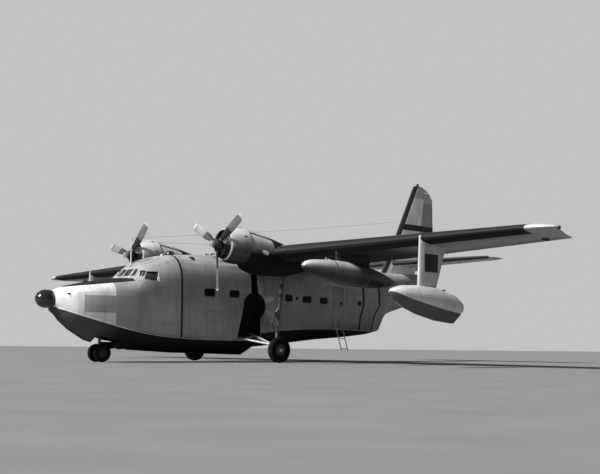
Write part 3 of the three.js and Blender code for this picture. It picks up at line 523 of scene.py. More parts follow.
def cowl_paint():
    """Painted light on top and painted shade below, with four joints along it, a hoop, a lip painted bright
    as a highlight and an inside painted dark as shade.
    """
    f = Finish("cowl_paint", roughness=0.34, metallic=0.3)
    # Painted light and shade: near black below, rising to light on top, as sun from above would light it
    f.tone = f.steps(f.z, [(3.45, 0.01), (3.85, 0.09), (4.1, 0.4), (4.4, 0.78)])
    across, above, reach = f.from_shaft()
    angle = f.math("ARCTAN2", across, above)
    joint = f.fall(f.math("PINGPONG", angle, math.pi / 4), 0.0, 0.012)
    hoop = f.fall(f.math("ABSOLUTE", f.minus(f.station, COWL_REAR - 0.2)), 0.0, 0.008)
    f.worn(0.12, 0.08, 0.25)
    lines = f.every(f.math("MAXIMUM", joint, hoop), f.more(reach, 0.6))
    f.zone(lines, 0.08)
    f.raise_by(lines, -1.0)
    # Painted highlight: the lip is light
    f.zone(f.less(f.station, COWL_FRONT + 0.05), 0.72, 0.28)
    # Painted shade: faces turned in towards the shaft behind the lip are near black
    sideways = f.times(f.normal_y, f.math("SIGN", f.y))
    outward = f.plus(f.times(sideways, across), f.times(f.normal_z, above))
    f.zone(f.every(f.less(outward, 0.0), f.more(f.station, COWL_FRONT + 0.03)), 0.02, 0.7)
    return f.done()


def float_paint():
    f = Finish("float_paint", 0.66, 0.38, metallic=0.15)
    f.sheets(0.52, 0.3)
    f.worn(0.1, 0.16, 0.08)
    # Painted shade: below the chine the float is dark, standing in for shade under it
    f.zone(f.less(f.z, f.plus(f.steps(f.station, FLOAT_CHINE), 0.03)), 0.07, 0.5)
    return f.done()


def float_pylon_paint():
    f = Finish("float_pylon_paint", 0.55, 0.42, metallic=0.2)
    f.sheets(0.5, 0.4)
    f.worn(0.08, 0.14, 0.08)
    f.zone(f.panel(*FLOAT_PYLON_PANEL), 0.02, 0.5)
    return f.done()


def tank_paint():
    """Painted light above and painted shade below, and darker aft where the wing's painted shadow falls."""
    f = Finish("tank_paint", roughness=0.32, metallic=0.35, coat=0.1)
    # Painted light and shade: light on upward faces, near black on downward ones, and darker aft where the
    # wing's shadow falls
    facing = f.steps(f.normal_z, [(-0.7, 0.008), (-0.2, 0.08), (0.15, 0.3), (0.6, 0.72)])
    f.tone = f.times(facing, f.ramp(f.station, 7.7, 8.3, 1.0, 0.3))
    f.sheets(1.05, 9.0, variety=0.05)
    f.worn(0.12, 0.12, 0.16)
    return f.done()


def gloss_black():
    f = Finish("gloss_black", 0.012, 0.14, coat=0.5)
    f.worn(0.3, 0.2, 0.1, grain=0.05)
    scuff = f.ramp(f.noise(f.place, 18.0, detail=4.0), 0.62, 0.7)
    f.zone(scuff, 0.05, 0.5)
    return f.done(bump=0.0006)


GRIME_SCALE = 9.0
RUB_SCALE = GRIME_SCALE * 3.1


def plain_metal(name, tone, roughness, metallic, grime=0.4):
    """Bare or painted metal of the smaller parts, with grime in patches and rubbed spots."""
    f = Finish(name, tone, roughness, metallic=metallic)
    f.worn(0.15, 0.15, 0.1, grain=0.3)
    patch = f.ramp(f.noise(f.place, GRIME_SCALE, detail=5.0), 0.45, 0.62)
    f.zone(patch, f.times(f.tone, 1.0 - grime), min(roughness + 0.2, 0.95))
    rubbed = f.ramp(f.noise(f.place, RUB_SCALE, detail=4.0), 0.64, 0.7)
    f.zone(rubbed, min(tone * 1.7 + 0.03, 0.9))
    return f.done(bump=0.001)


def propeller_finish():
    """Metal with nicks, light tips, dark roots, and a bright nut in a dark hub."""
    f = Finish("propeller_finish", 0.2, 0.4, metallic=0.5)
    f.worn(0.12, 0.1, 0.1, grain=0.2)
    _, _, reach = f.from_shaft()
    f.zone(f.more(reach, 1.52), 0.5, 0.5)
    f.zone(f.ramp(f.noise(f.place, 40.0), 0.66, 0.7), 0.55, 0.3)
    f.zone(f.between(reach, 0.3, 0.84), MATT_BLACK, 0.6, 0.0)
    f.zone(f.less(reach, 0.2), 0.05, 0.5)
    f.zone(f.every(f.less(reach, 0.15), f.less(f.station, PROP_STATION - 0.18)), 0.45, 0.28)
    return f.done(bump=0.0008)


def tyre_rubber():
    f = Finish("tyre_rubber", 0.006, 0.9)
    f.worn(0.25, 0.0, 0.0, grain=0.4)
    dust = f.ramp(f.noise(f.place, 7.0, detail=5.0), 0.4, 0.7)
    low = f.ramp(f.z, 0.0, 0.16, 1.0, 0.25)
    f.zone(f.every(dust, low), 0.03)
    return f.done(bump=0.0012, specular=0.08)


def seat_leather():
    """Creased leather in sewn channels."""
    f = Finish("seat_leather", 0.06, 0.6)
    cell = f.add("ShaderNodeTexVoronoi", feature="DISTANCE_TO_EDGE")
    f.feed(cell.inputs["Vector"], f.place)
    cell.inputs["Scale"].default_value = 160.0
    f.raise_by(f.ramp(cell.outputs[0], 0.0, 0.12), 0.8)
    channel = f.fall(f.math("PINGPONG", f.y, 0.06), 0.0, 0.012)
    f.raise_by(channel, -4.0)
    f.zone(channel, 0.02)
    f.worn(0.2, 0.0, 0.0)
    return f.done(bump=0.002)


def window_glass():
    """Dark glass that lets some light through, with dirt and a slight wave."""
    material = bpy.data.materials.new("window_glass")
    material.use_nodes = True
    graph = Graph(material.node_tree)
    material.node_tree.nodes.clear()
    place = graph.add("ShaderNodeTexCoord").outputs["Object"]
    shader = graph.add("ShaderNodeBsdfPrincipled")
    dirt = graph.ramp(graph.noise(place, 5.0, detail=4.0), 0.4, 0.75, 0.04, 0.16)
    graph.feed(shader.inputs["Roughness"], dirt)
    graph.feed(shader.inputs["Base Color"], graph.ramp(graph.noise(place, 2.0), 0.3, 0.7, 0.05, 0.1))
    shader.inputs["Transmission Weight"].default_value = 0.5
    shader.inputs["IOR"].default_value = 1.45
    relief = graph.add("ShaderNodeBump")
    relief.inputs["Distance"].default_value = 0.002
    graph.feed(relief.inputs["Height"], graph.noise(place, 3.0, detail=2.0))
    graph.feed(shader.inputs["Normal"], relief.outputs[0])
    end = graph.add("ShaderNodeOutputMaterial")
    graph.tree.links.new(shader.outputs[0], end.inputs[0])
    return material


def pane_finish():
    """Dark glass seen from outside, with haze in patches."""
    f = Finish("pane_finish", 0.006, 0.24)
    f.zone(f.ramp(f.noise(f.place, 6.0, detail=4.0), 0.45, 0.75), 0.012, 0.36)
    f.raise_by(f.noise(f.place, 4.0, detail=2.0), 0.5)
    return f.done(bump=0.001, specular=0.15)


def floor_paint():
    f = Finish("floor_paint", 0.2, 0.85)
    f.worn(0.05, 0.0, 0.0, grain=0.2)
    return f.done(bump=0.002)


PAINT = {
    "hull": hull_paint(),
    "wing": wing_paint(),
    "tip": tip_paint(),
    "fabric": fabric_paint(),
    "rudder": rudder_paint(),
    "fin": fin_paint(),
    "tailplane": tailplane_paint(),
    "nacelle": nacelle_paint(),
    "cowl": cowl_paint(),
    "float": float_paint(),
    "float_pylon": float_pylon_paint(),
    "tank": tank_paint(),
    "gloss_black": gloss_black(),
    "engine": plain_metal("engine_metal", 0.035, 0.55, 0.5),
    # Near black: painted shade for parts that stand in the wing's shadow
    "shaded": plain_metal("shaded_metal", 0.014, 0.7, 0.0),
    "propeller": propeller_finish(),
    "gear": plain_metal("gear_metal", 0.14, 0.42, 0.4),
    "bright_gear": plain_metal("bright_gear_metal", 0.55, 0.36, 0.4, grime=0.25),
    "wheel": plain_metal("wheel_metal", 0.03, 0.5, 0.2),
    "tyre": tyre_rubber(),
    "glass": window_glass(),
    "seat": seat_leather(),
    "trim": plain_metal("light_trim", 0.62, 0.4, 0.3, grime=0.25),
    "dark_trim": plain_metal("dark_trim", 0.03, 0.5, 0.1),
    "ladder": plain_metal("ladder_metal", 0.5, 0.4, 0.5),
    "pane": pane_finish(),
    "window_frame": plain_metal("window_frame", 0.1, 0.5, 0.1, grime=0.25),
}


# The CAD nodes in their finishes

def carry(node, paint):
    """A smooth-shaded copy of a CAD node stands for it, on its body. A hull section's ends stay flat."""
    source = frame["nodes"][node]
    piece = bpy.data.objects.new(node + "_skin", source.data.copy())
    bpy.context.collection.objects.link(piece)
    body = body_of(source)[0]
    bpy.ops.object.select_all(action="DESELECT")
    bpy.context.view_layer.objects.active = piece
    piece.select_set(True)
    bpy.ops.object.mode_set(mode="EDIT")
    bpy.ops.mesh.select_all(action="SELECT")
    bpy.ops.mesh.remove_doubles(threshold=0.0002)
    bpy.ops.object.mode_set(mode="OBJECT")
    bpy.ops.object.shade_smooth_by_angle(angle=SMOOTH_ANGLE)
    if node.startswith("hull"):
        for face in piece.data.polygons:
            if abs(face.normal.x) > CAP_FACING:
                face.use_smooth = False
    else:
        weighted = piece.modifiers.new("weighted", "WEIGHTED_NORMAL")
        weighted.keep_sharp = True
        bpy.ops.object.modifier_apply(modifier="weighted")
    piece.data.materials.clear()
    piece.data.materials.append(PAINT[paint])
    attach(piece, body)
    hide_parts(node)


# A name that ends in _ is a pair of nodes, port and starboard
COATS = {
    "hull": ["hull_bow", "hull_centre", "hull_cabin", "tail_cone", "entry_door", "nose_door_"],
    "wing": ["wing_centre", "wing_", "flap_inner_", "flap_outer_"],
    "tip": ["wing_tip_"],
    "fabric": ["aileron_", "elevator_"],
    "rudder": ["rudder"],
    "fin": ["fin"],
    "tailplane": ["tailplane"],
    "nacelle": ["nacelle_"],
    "cowl": ["cowl_"],
    "float": ["float_"],
    "float_pylon": ["float_pylon_"],
    "tank": ["drop_tank_"],
    # The tank pylons are painted near black as the shade they stand in
    "shaded": ["tank_pylon_"],
    "gloss_black": ["radome"],
    "engine": ["engine_"],
    "propeller": ["propeller_"],
    "gear": ["main_leg_", "nose_fork", "nose_leg"],
    "bright_gear": ["main_arms_"],
    "wheel": ["main_rim_", "nose_rim_"],
    "tyre": ["main_tyre_", "nose_tyre_"],
    "glass": ["cockpit_glass"],
    "seat": ["pilot_seat_"],
    "dark_trim": ["instrument_panel"],
    "ladder": ["boarding_ladder"],
}
for paint, names in COATS.items():
    for name in names:
        for ending in (SIDES if name.endswith("_") else [""]):
            carry(name + ending, paint)


# Making pieces

def begin(kind, **place):
    """A primitive on its own, in edit mode and selected all over."""
    bpy.ops.object.select_all(action="DESELECT")
    getattr(bpy.ops.mesh, "primitive_" + kind + "_add")(**place)
    bpy.ops.object.mode_set(mode="EDIT")
    return bpy.context.object


def pick_top(piece):
    """Selects the faces that look up."""
    bpy.ops.mesh.select_mode(type="FACE")
    bpy.ops.mesh.select_all(action="DESELECT")
    mesh = bmesh.from_edit_mesh(piece.data)
    for face in mesh.faces:
        face.select_set(face.normal.z > 0.9)
    bmesh.update_edit_mesh(piece.data)


def finish(piece, name, paint, body="airframe"):
    """Names the piece and gives it its place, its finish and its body."""
    bpy.ops.object.select_all(action="DESELECT")
    piece.select_set(True)
    bpy.context.view_layer.objects.active = piece
    bpy.ops.object.transform_apply(location=True, rotation=True, scale=True)
    bpy.ops.object.shade_smooth_by_angle(angle=FITTING_ANGLE)
    piece.name = name
    if not piece.data.materials:
        piece.data.materials.append(PAINT[paint])
    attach(piece, body)
    return piece


def copied(piece, name, change, body=None):
    """Another of the same piece with its own mesh, moved or turned over by a matrix."""
    again = piece.copy()
    again.data = piece.data.copy()
    bpy.context.collection.objects.link(again)
    again.parent = None
    again.data.transform(change)
    if change.determinant() < 0:
        again.data.flip_normals()
    again.name = name
    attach(again, body or piece["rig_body"])


def finish_pair(piece, name, paint, body="airframe"):
    """The finished port piece and its mirror image on the starboard side."""
    finish(piece, name + "_port", paint, body)
    over = Matrix.Scale(-1, 4, (0, 1, 0))
    copied(piece, name + "_starboard", over, body.replace("port", "starboard"))


def joined(pieces):
    """Several loose shapes made one piece."""
    bpy.ops.object.select_all(action="DESELECT")
    for piece in pieces:
        piece.select_set(True)
    bpy.context.view_layer.objects.active = pieces[0]
    bpy.ops.object.join()
    return bpy.context.object


def block(centre, size, edge, taper=None):
    """A box with rounded edges. taper narrows its top to a share of x and y."""
    piece = begin("cube", size=1, location=(0, 0, 0))
    bpy.ops.transform.resize(value=size)
    if taper:
        pick_top(piece)
        bpy.ops.transform.resize(value=(*taper, 1))
    bpy.ops.mesh.select_all(action="SELECT")
    bpy.ops.mesh.bevel(offset=edge, segments=2, affect="EDGES")
    bpy.ops.mesh.select_all(action="SELECT")
    bpy.ops.transform.translate(value=centre)
    bpy.ops.object.mode_set(mode="OBJECT")
    return piece


def rod(points, radius, sides=8, end_radius=None):
    """A round bar along the points, with closed ends. It may taper to another radius."""
    curve = bpy.data.curves.new("rod", "CURVE")
    curve.dimensions = "3D"
    curve.bevel_depth = radius
    curve.bevel_resolution = sides // 4 - 1
    curve.use_fill_caps = True
    line = curve.splines.new("POLY")
    line.points.add(len(points) - 1)
    for index, (spot, place) in enumerate(zip(line.points, points)):
        spot.co = (*place, 1)
        if end_radius is not None:
            share = index / (len(points) - 1)
            spot.radius = 1 + (end_radius / radius - 1) * share
    piece = bpy.data.objects.new("rod", curve)
    bpy.context.collection.objects.link(piece)
    bpy.ops.object.select_all(action="DESELECT")
    piece.select_set(True)
    bpy.context.view_layer.objects.active = piece
    bpy.ops.object.convert(target="MESH")
    return bpy.context.object


def turned(profile, centre, axis, steps):
    """A profile of (radius, distance along the axis), spun round the axis through the centre."""
    count = len(profile)
    axis = Vector(axis).normalized()
    out = axis.orthogonal().normalized()
    centre = Vector(centre)
    piece = begin("circle", vertices=count, radius=1)
    mesh = bmesh.from_edit_mesh(piece.data)
    mesh.verts.ensure_lookup_table()
    for corner, (radius, reach) in zip(mesh.verts, profile):
        corner.co = centre + out * radius + axis * reach
    if profile[0][0] == 0 and profile[-1][0] == 0:
        ends = {mesh.verts[0], mesh.verts[count - 1]}
        for edge in [e for e in mesh.edges if set(e.verts) == ends]:
            mesh.edges.remove(edge)
    bmesh.update_edit_mesh(piece.data)
    bpy.ops.mesh.select_all(action="SELECT")
    bpy.ops.mesh.spin(steps=steps, angle=math.tau, center=centre, axis=axis)
    bpy.ops.mesh.select_all(action="SELECT")
    bpy.ops.mesh.remove_doubles(threshold=0.0002)
    bpy.ops.mesh.normals_make_consistent(inside=False)
    bpy.ops.object.mode_set(mode="OBJECT")
    return piece


def walled(piece, thickness, offset=-1.0):
    """Gives a sheet a thickness."""
    bpy.ops.object.mode_set(mode="OBJECT")
    wall = piece.modifiers.new("wall", "SOLIDIFY")
    wall.thickness = thickness
    wall.offset = offset
    bpy.ops.object.modifier_apply(modifier="wall")
    return piece


def shell_of(*nodes):
    """The surface of some CAD nodes, to set small pieces on."""
    places = []
    faces = []
    for node in nodes:
        mesh = frame["nodes"][node].data
        base = len(places)
        places += [corner.co.copy() for corner in mesh.vertices]
        faces += [[base + index for index in face.vertices] for face in mesh.polygons]
    return BVHTree.FromPolygons(places, faces)


def hit(shell, start, way):
    """Where a line from the start meets a surface, and the way the surface faces there."""
    return shell.ray_cast(start, Vector(way))[:2]


def nearest(shell, point):
    """The spot on a surface that is nearest to the point, and the way the surface faces there."""
    return shell.find_nearest(point)[:2]


HULL = shell_of("hull_bow", "hull_centre", "hull_cabin", "tail_cone", "entry_door")


def on_side(station, z, side=1):
    return hit(HULL, at(station, side * 6, z), (0, -side, 0))


def on_roof(station, y):
    return hit(HULL, at(station, y, 6), (0, 0, -1))


# Square windows: station from, station to, height from, height to
WINDOWS = [
    (5.80, 6.26, 2.33, 2.62),
    (6.89, 7.35, 2.33, 2.60),
    (9.50, 9.88, 2.28, 2.56),
    (10.39, 10.84, 2.26, 2.53),
    (11.30, 11.72, 2.26, 2.51),
    (13.47, 13.71, 2.25, 2.46),
]
WINDOW_CORNER = 0.085
WINDOW_FRAME = 0.018
WINDOW_LIFT = 0.004
FRAME_DEPTH = 0.012


def hull_window(name, window, side):
    """A dark pane in a raised frame with round corners, bent to the skin."""
    start, end, low, high = window
    station = (start + end) / 2
    height = (low + high) / 2
    piece = begin("grid", x_subdivisions=1, y_subdivisions=1, size=2)
    bpy.ops.transform.resize(value=((end - start) / 2, (high - low) / 2, 1))
    bpy.ops.mesh.bevel(offset=WINDOW_CORNER, segments=4, affect="VERTICES")
    bpy.ops.mesh.select_all(action="SELECT")
    bpy.ops.mesh.inset(thickness=WINDOW_FRAME)
    mesh = bmesh.from_edit_mesh(piece.data)
    for face in mesh.faces:
        face.material_index = 1 if face.select else 0
    for corner in mesh.verts:
        place, normal = on_side(station - corner.co.x, height + corner.co.y, side)
        corner.co = place + normal * WINDOW_LIFT
    bmesh.update_edit_mesh(piece.data)
    bpy.ops.mesh.select_all(action="INVERT")
    bpy.ops.mesh.extrude_region_move(TRANSFORM_OT_translate={"value": (0, FRAME_DEPTH * side, 0)})
    walled(piece, 0.006, offset=0)
    piece.data.materials.append(PAINT["window_frame"])
    piece.data.materials.append(PAINT["pane"])
    finish(piece, name, "pane")


for number, window in enumerate(WINDOWS, start=1):
    for name, side in SIDES.items():
        hull_window(f"window_{number}_{name}", window, side)

# A small round port in each side
PORT_PLACE = (10.11, 2.42)  # station and height
PORT_RADIUS = 0.055
for name, side in SIDES.items():
    place, normal = on_side(*PORT_PLACE, side)
    ring = turned([(0, -0.01), (PORT_RADIUS, -0.01), (PORT_RADIUS * 1.25, 0.0), (PORT_RADIUS * 1.2, 0.012),
                   (PORT_RADIUS, 0.012), (PORT_RADIUS * 0.95, 0.004), (0, 0.004)], place, normal, 24)
    finish(ring, f"port_light_1_{name}", "dark_trim")

# The rails along the chines, as station, y and z, and the doubled plates along the keel, as station and z
CHINE_RAIL = [(0.62, 0.37, 1.765), (0.8, 0.6, 1.69), (1.15, 0.88, 1.55), (1.75, 1.08, 1.37),
              (2.7, 1.19, 1.13), (3.16, 1.21, 1.04), (3.64, 1.22, 0.955), (4.2, 1.22, 0.89),
              (5.12, 1.22, 0.83), (6.2, 1.22, 0.8), (8.34, 1.22, 0.8)]
STERN_RAIL = [(8.42, 1.209, 1.085), (9.3, 1.2, 1.19), (10.65, 1.16, 1.27), (12.0, 1.05, 1.29),
              (13.0, 0.905, 1.28), (13.84, 0.683, 1.265), (14.85, 0.418, 1.26), (15.4, 0.13, 1.272)]
KEEL_RAILS = {
    "keel_rail_bow": [(0.6, 1.64), (0.8, 1.4), (1.15, 1.11), (1.75, 0.76), (2.03, 0.687)],
    "keel_rail_centre": [(3.36, 0.442), (4.2, 0.4), (5.12, 0.35), (6.2, 0.33), (8.34, 0.28)],
}
finish_pair(rod([at(*row) for row in CHINE_RAIL], 0.017), "chine_rail", "trim")
finish_pair(rod([at(*row) for row in STERN_RAIL], 0.014), "stern_rail", "trim")
for name, keel in KEEL_RAILS.items():
    finish(rod([at(station, 0, z - 0.004) for station, z in keel], 0.02), name, "dark_trim")

# Roof domes: name, station, y, radius, height
DOMES = [("roof_dome_bow", 5.02, 0.12, 0.17, 0.15), ("roof_dome_centre", 5.52, 0.80, 0.10, 0.05),
         ("roof_dome_mid", 7.0, -0.30, 0.10, 0.06)]
DOME_STEPS = 8
for name, station, y, radius, height in DOMES:
    turns = [step * math.pi / 2 / DOME_STEPS for step in range(DOME_STEPS)]
    arc = [(radius * math.cos(turn), height * math.sin(turn)) for turn in turns]
    rim = [(0, -0.02), (radius * 1.12, -0.02), (radius * 1.12, 0.008)]
    dome = turned(rim + arc + [(0, height)], *on_roof(station, y), 28)
    finish(dome, name, "gloss_black")

# The mast behind the cockpit, and the two aerial wires from it to the fin
MAST_STATION = 3.50
MAST_TOP = 4.34
WIRES = {"aerial_wire_high": (0.01, (16.93, 0, 6.12)), "aerial_wire_low": (0.12, (16.46, 0, 4.93))}
WIRE_STEPS = 12
WIRE_SAG = 0.3
mast_foot, _ = on_roof(MAST_STATION, 0)
mast = joined([
    rod([mast_foot - rise(0.03), at(MAST_STATION, 0, MAST_TOP)], 0.028, 12, 0.014),
    block(mast_foot + rise(0.012), (0.16, 0.09, 0.03), 0.01),
    block(at(MAST_STATION, 0, MAST_TOP - 0.06), (0.05, 0.03, 0.05), 0.008),
])
finish(mast, "wire_mast", "trim")
for name, (drop, end) in WIRES.items():
    first = at(MAST_STATION, 0, MAST_TOP - drop)
    line = []
    for step in range(WIRE_STEPS + 1):
        share = step / WIRE_STEPS
        line.append(first.lerp(at(*end), share) - rise(WIRE_SAG * share * (1 - share)))
    finish(rod(line, 0.004), name, "dark_trim")

# Posts and blade aerials on the roof: name, station, y, length, height, thickness
BLADES = [
    ("roof_post_1", 6.42, 0.3, 0.12, 0.09, 0.05),
    ("roof_post_2", 6.66, 0.3, 0.12, 0.09, 0.05),
    ("roof_post_3", 4.56, 0.35, 0.14, 0.09, 0.12),
    ("blade_aerial_1", 7.9, 0.0, 0.22, 0.2, 0.02),
    ("blade_aerial_2", 9.0, 0.15, 0.18, 0.22, 0.018),
    ("blade_aerial_3", 11.6, 0.0, 0.24, 0.3, 0.02),
]
for name, station, y, length, height, thick in BLADES:
    place, _ = on_roof(station, y)
    blade = block(place + rise(height / 2 - 0.02), (length, thick, height), 0.006, (0.55, 0.6))
    finish(blade, name, "trim")

# Hatch rims on the roof: name, station, y, length, width
HATCHES = [
    ("cockpit_hatch_port", 3.95, 0.42, 0.62, 0.46),
    ("cockpit_hatch_starboard", 3.95, -0.42, 0.62, 0.46),
    ("cabin_hatch", 10.3, 0.0, 0.8, 0.7),
]
for name, station, y, length, width in HATCHES:
    piece = begin("plane", size=1)
    bpy.ops.transform.resize(value=(length, width, 1))
    bpy.ops.mesh.bevel(offset=0.07, segments=4, affect="VERTICES")
    bpy.ops.mesh.select_all(action="SELECT")
    bpy.ops.mesh.inset(thickness=0.035)
    bpy.ops.mesh.inset(thickness=0.1)
    mesh = bmesh.from_edit_mesh(piece.data)
    for corner in mesh.verts:
        place, normal = on_roof(station - corner.co.x, y + corner.co.y)
        corner.co = place + normal * 0.006
    bmesh.update_edit_mesh(piece.data)
    bpy.ops.mesh.select_all(action="SELECT")
    bpy.ops.mesh.extrude_region_move(TRANSFORM_OT_translate={"value": (0, 0, 0.008)})
    finish(walled(piece, 0.005), name, "hull")

# Windscreen bars, laid on the glass and the hull round it
FRONT = shell_of("hull_bow", "cockpit_glass")
BAR_LIFT = 0.006
# For each bar its radius, then station, y and z along it
SCREEN_BARS = [
    (0.015, [(3.45, 0.40, 3.22), (3.30, 0.46, 3.03), (3.15, 0.54, 2.90)]),
    (0.015, [(3.45, 0.74, 3.16), (3.29, 0.76, 2.99), (3.16, 0.77, 2.84)]),
    (0.013, [(3.49, 0.86, 3.05), (3.27, 0.95, 2.86)]),
    (0.017, [(3.61, 0.89, 3.10), (3.50, 0.97, 2.94), (3.37, 1.08, 2.80)]),
    (0.017, [(3.12, 0.0, 2.93), (3.14, 0.45, 2.90), (3.2, 0.8, 2.83), (3.36, 1.06, 2.78),
             (3.6, 1.13, 2.77)]),
    (0.014, [(3.46, 0.0, 3.27), (3.46, 0.4, 3.22), (3.48, 0.74, 3.14), (3.62, 0.87, 3.10)]),
    (0.014, [(3.96, 1.02, 3.0), (3.95, 1.1, 2.9), (3.92, 1.14, 2.8)]),
]
CENTRE_BAR = [(3.46, 0.0, 3.27), (3.3, 0.0, 3.08), (3.12, 0.0, 2.93)]


def between_points(points, parts):
    """The points with more of them spaced evenly on each stretch between two."""
    line = []
    for start, end in zip(points, points[1:]):
        line += [start.lerp(end, step / parts) for step in range(parts)]
    return line + [points[-1]]


def screen_bar(points, radius):
    """A bar through the points, drawn onto the glass and lifted a little off it."""
    line = []
    for point in between_points([at(*row) for row in points], 5):
        place, normal = nearest(FRONT, point)
        line.append(place + normal * BAR_LIFT)
    return rod(line, radius)


for number, (radius, points) in enumerate(SCREEN_BARS, start=1):
    finish_pair(screen_bar(points, radius), f"screen_bar_{number}", "trim")
finish(screen_bar(CENTRE_BAR, 0.013), "screen_bar_centre", "trim")

# Bow: an air vane on each side, and a mooring bitt on the deck
VANE_STATION = 0.86
VANE_Z = 2.24
BITT_STATION = 1.75
vane = joined([
    block(at(VANE_STATION, 0.0, 0.0), (0.21, 0.012, 0.05), 0.004, (0.6, 1.0)),
    block(at(VANE_STATION, -0.02, 0.0), (0.07, 0.04, 0.03), 0.006),
])
vane_place, _ = on_side(VANE_STATION, VANE_Z)
vane.data.transform(Matrix.Translation((0, vane_place.y + 0.03, VANE_Z)))
finish_pair(vane, "air_vane", "dark_trim")
bitt_place, _ = on_roof(BITT_STATION, 0.0)
bitt = joined([
    block(bitt_place + rise(0.008), (0.26, 0.16, 0.02), 0.005),
    rod([bitt_place, bitt_place + rise(0.12)], 0.028, 12),
    rod([bitt_place + Vector((0, -0.09, 0.09)), bitt_place + Vector((0, 0.09, 0.09))], 0.014, 12),
])
finish(bitt, "mooring_bitt", "dark_trim")

# Entry door: a rim on the hull and a handle on the door
DOOR_RIM = [(11.91, 1.78), (11.91, 2.92), (11.97, 2.99), (12.63, 2.99), (12.69, 2.92), (12.69, 1.78),
            (12.63, 1.72), (11.97, 1.72), (11.91, 1.78)]
HANDLE_PLACE = (12.5, 2.32)  # station and height
line = []
for (s0, z0), (s1, z1) in zip(DOOR_RIM, DOOR_RIM[1:]):
    for step in range(6):
        place, normal = on_side(s0 + (s1 - s0) * step / 6, z0 + (z1 - z0) * step / 6)
        line.append(place + normal * 0.004)
finish(rod(line + line[:1], 0.011), "door_rim", "trim")
foot, normal = on_side(*HANDLE_PLACE)
grip = foot + normal * 0.045
handle = joined([
    block(foot + normal * 0.008, (0.1, 0.016, 0.12), 0.004),
    rod([foot + normal * 0.01, grip], 0.011, 12),
    rod([grip + Vector((0.07, 0, 0)), grip - Vector((0.03, 0, 0))], 0.01, 12),
])
finish(handle, "door_handle", "dark_trim", "entry_door")

# Engines: finned cylinders with rocker covers and tubes, an ignition ring and a row of case bolts
CYLINDERS = 9
CYLINDER_STATION = 5.74
CYLINDER_FOOT = 0.33
CYLINDER_TOP = 0.545
BARREL_RADIUS = 0.114
FINS_RADIUS = 0.128
FIN_COUNT = 9
FIRST_FIN = 0.335
FIN_PITCH = 0.022
RING_STATION = 5.5
CASE_BOLTS = 12
CASE_BOLT_STATION = 5.42
CASE_BOLT_REACH = 0.2


def round_engine(side, turn):
    """The turn about one engine's shaft."""
    centre = Vector((0, side * ENGINE_Y, ENGINE_Z))
    return Matrix.Translation(centre) @ Matrix.Rotation(-turn, 4, "X") @ Matrix.Translation(-centre)


def top_cylinder():
    """The port engine's upright cylinder."""
    profile = [(0, CYLINDER_FOOT)]
    for k in range(FIN_COUNT):
        reach = FIRST_FIN + k * FIN_PITCH
        profile += [(BARREL_RADIUS, reach), (FINS_RADIUS, reach + 0.003), (FINS_RADIUS, reach + 0.009),
                    (BARREL_RADIUS, reach + 0.012)]
    profile += [(0.1, CYLINDER_TOP), (0, CYLINDER_TOP)]
    shaft = at(CYLINDER_STATION, ENGINE_Y, ENGINE_Z)
    top = shaft + rise(0.53)
    parts = [turned(profile, shaft, (0, 0, 1), 20)]
    for y in (0.055, -0.055):
        parts.append(block(top + Vector((0.075, y, 0.005)), (0.09, 0.07, 0.05), 0.01, (0.8, 0.7)))
    for y in (0.05, -0.05):
        tube = [shaft + Vector((0.23, y * 0.6, 0.25)), shaft + Vector((0.1, y, 0.5))]
        parts.append(rod(tube, 0.012, 12))
    return joined(parts)


cylinder = finish(top_cylinder(), "cylinder_1_port", "engine")
for name, side in SIDES.items():
    move = Matrix.Translation((0, (side - 1) * ENGINE_Y, 0))
    for k in range(CYLINDERS):
        if (name, k) != ("port", 0):
            turn = round_engine(side, math.tau * k / CYLINDERS)
            copied(cylinder, f"cylinder_{k + 1}_{name}", turn @ move)
ring = turned([(0.3, -0.02), (0.325, -0.012), (0.335, 0.0), (0.325, 0.012), (0.3, 0.02), (0.29, 0.0)],
              at(RING_STATION, ENGINE_Y, ENGINE_Z), (1, 0, 0), 36)
finish_pair(ring, "ignition_ring", "window_frame")
bolts = []
for k in range(CASE_BOLTS):
    turn = math.tau * k / CASE_BOLTS
    spot = at(CASE_BOLT_STATION, ENGINE_Y + CASE_BOLT_REACH * math.sin(turn),
              ENGINE_Z + CASE_BOLT_REACH * math.cos(turn))
    bolts.append(rod([spot, spot + Vector((0.05, 0, 0))], 0.014, 12))
finish_pair(joined(bolts), "case_bolts", "ladder")

# Exhaust pipes with narrowed mouths on both flanks of each nacelle
NACELLE = shell_of("nacelle_port")
EXHAUST_STATION = 6.62
EXHAUST_Z = 3.83
EXHAUST = [(0, 0), (0.05, 0), (0.062, 0.05), (0.07, 0.16), (0.066, 0.24), (0.052, 0.24), (0.045, 0.12),
           (0, 0.12)]
for name, sideways in (("outer", 1), ("inner", -1)):
    skin, normal = nearest(NACELLE, at(EXHAUST_STATION, ENGINE_Y + sideways * 0.6, EXHAUST_Z))
    pipe = turned(EXHAUST, skin - normal * 0.03, (-1.0, 0.16 * sideways, -0.3), 20)
    finish_pair(pipe, f"exhaust_{name}", "trim")

# Cowl latches, each a strap across the rear hoop at its turn from straight up
LATCH_TURNS = (0.3, 1.1, 2.0, 2.9, -0.5, -1.3, -2.2)
LATCH_REACH = 0.642
for number, turn in enumerate(LATCH_TURNS, start=1):
    spot = at(COWL_REAR - 0.22, ENGINE_Y, ENGINE_Z)
    strap = block(spot + rise(LATCH_REACH), (0.14, 0.03, 0.012), 0.004)
    strap.data.transform(round_engine(1, turn))
    finish_pair(strap, f"cowl_latch_{number}", "dark_trim")

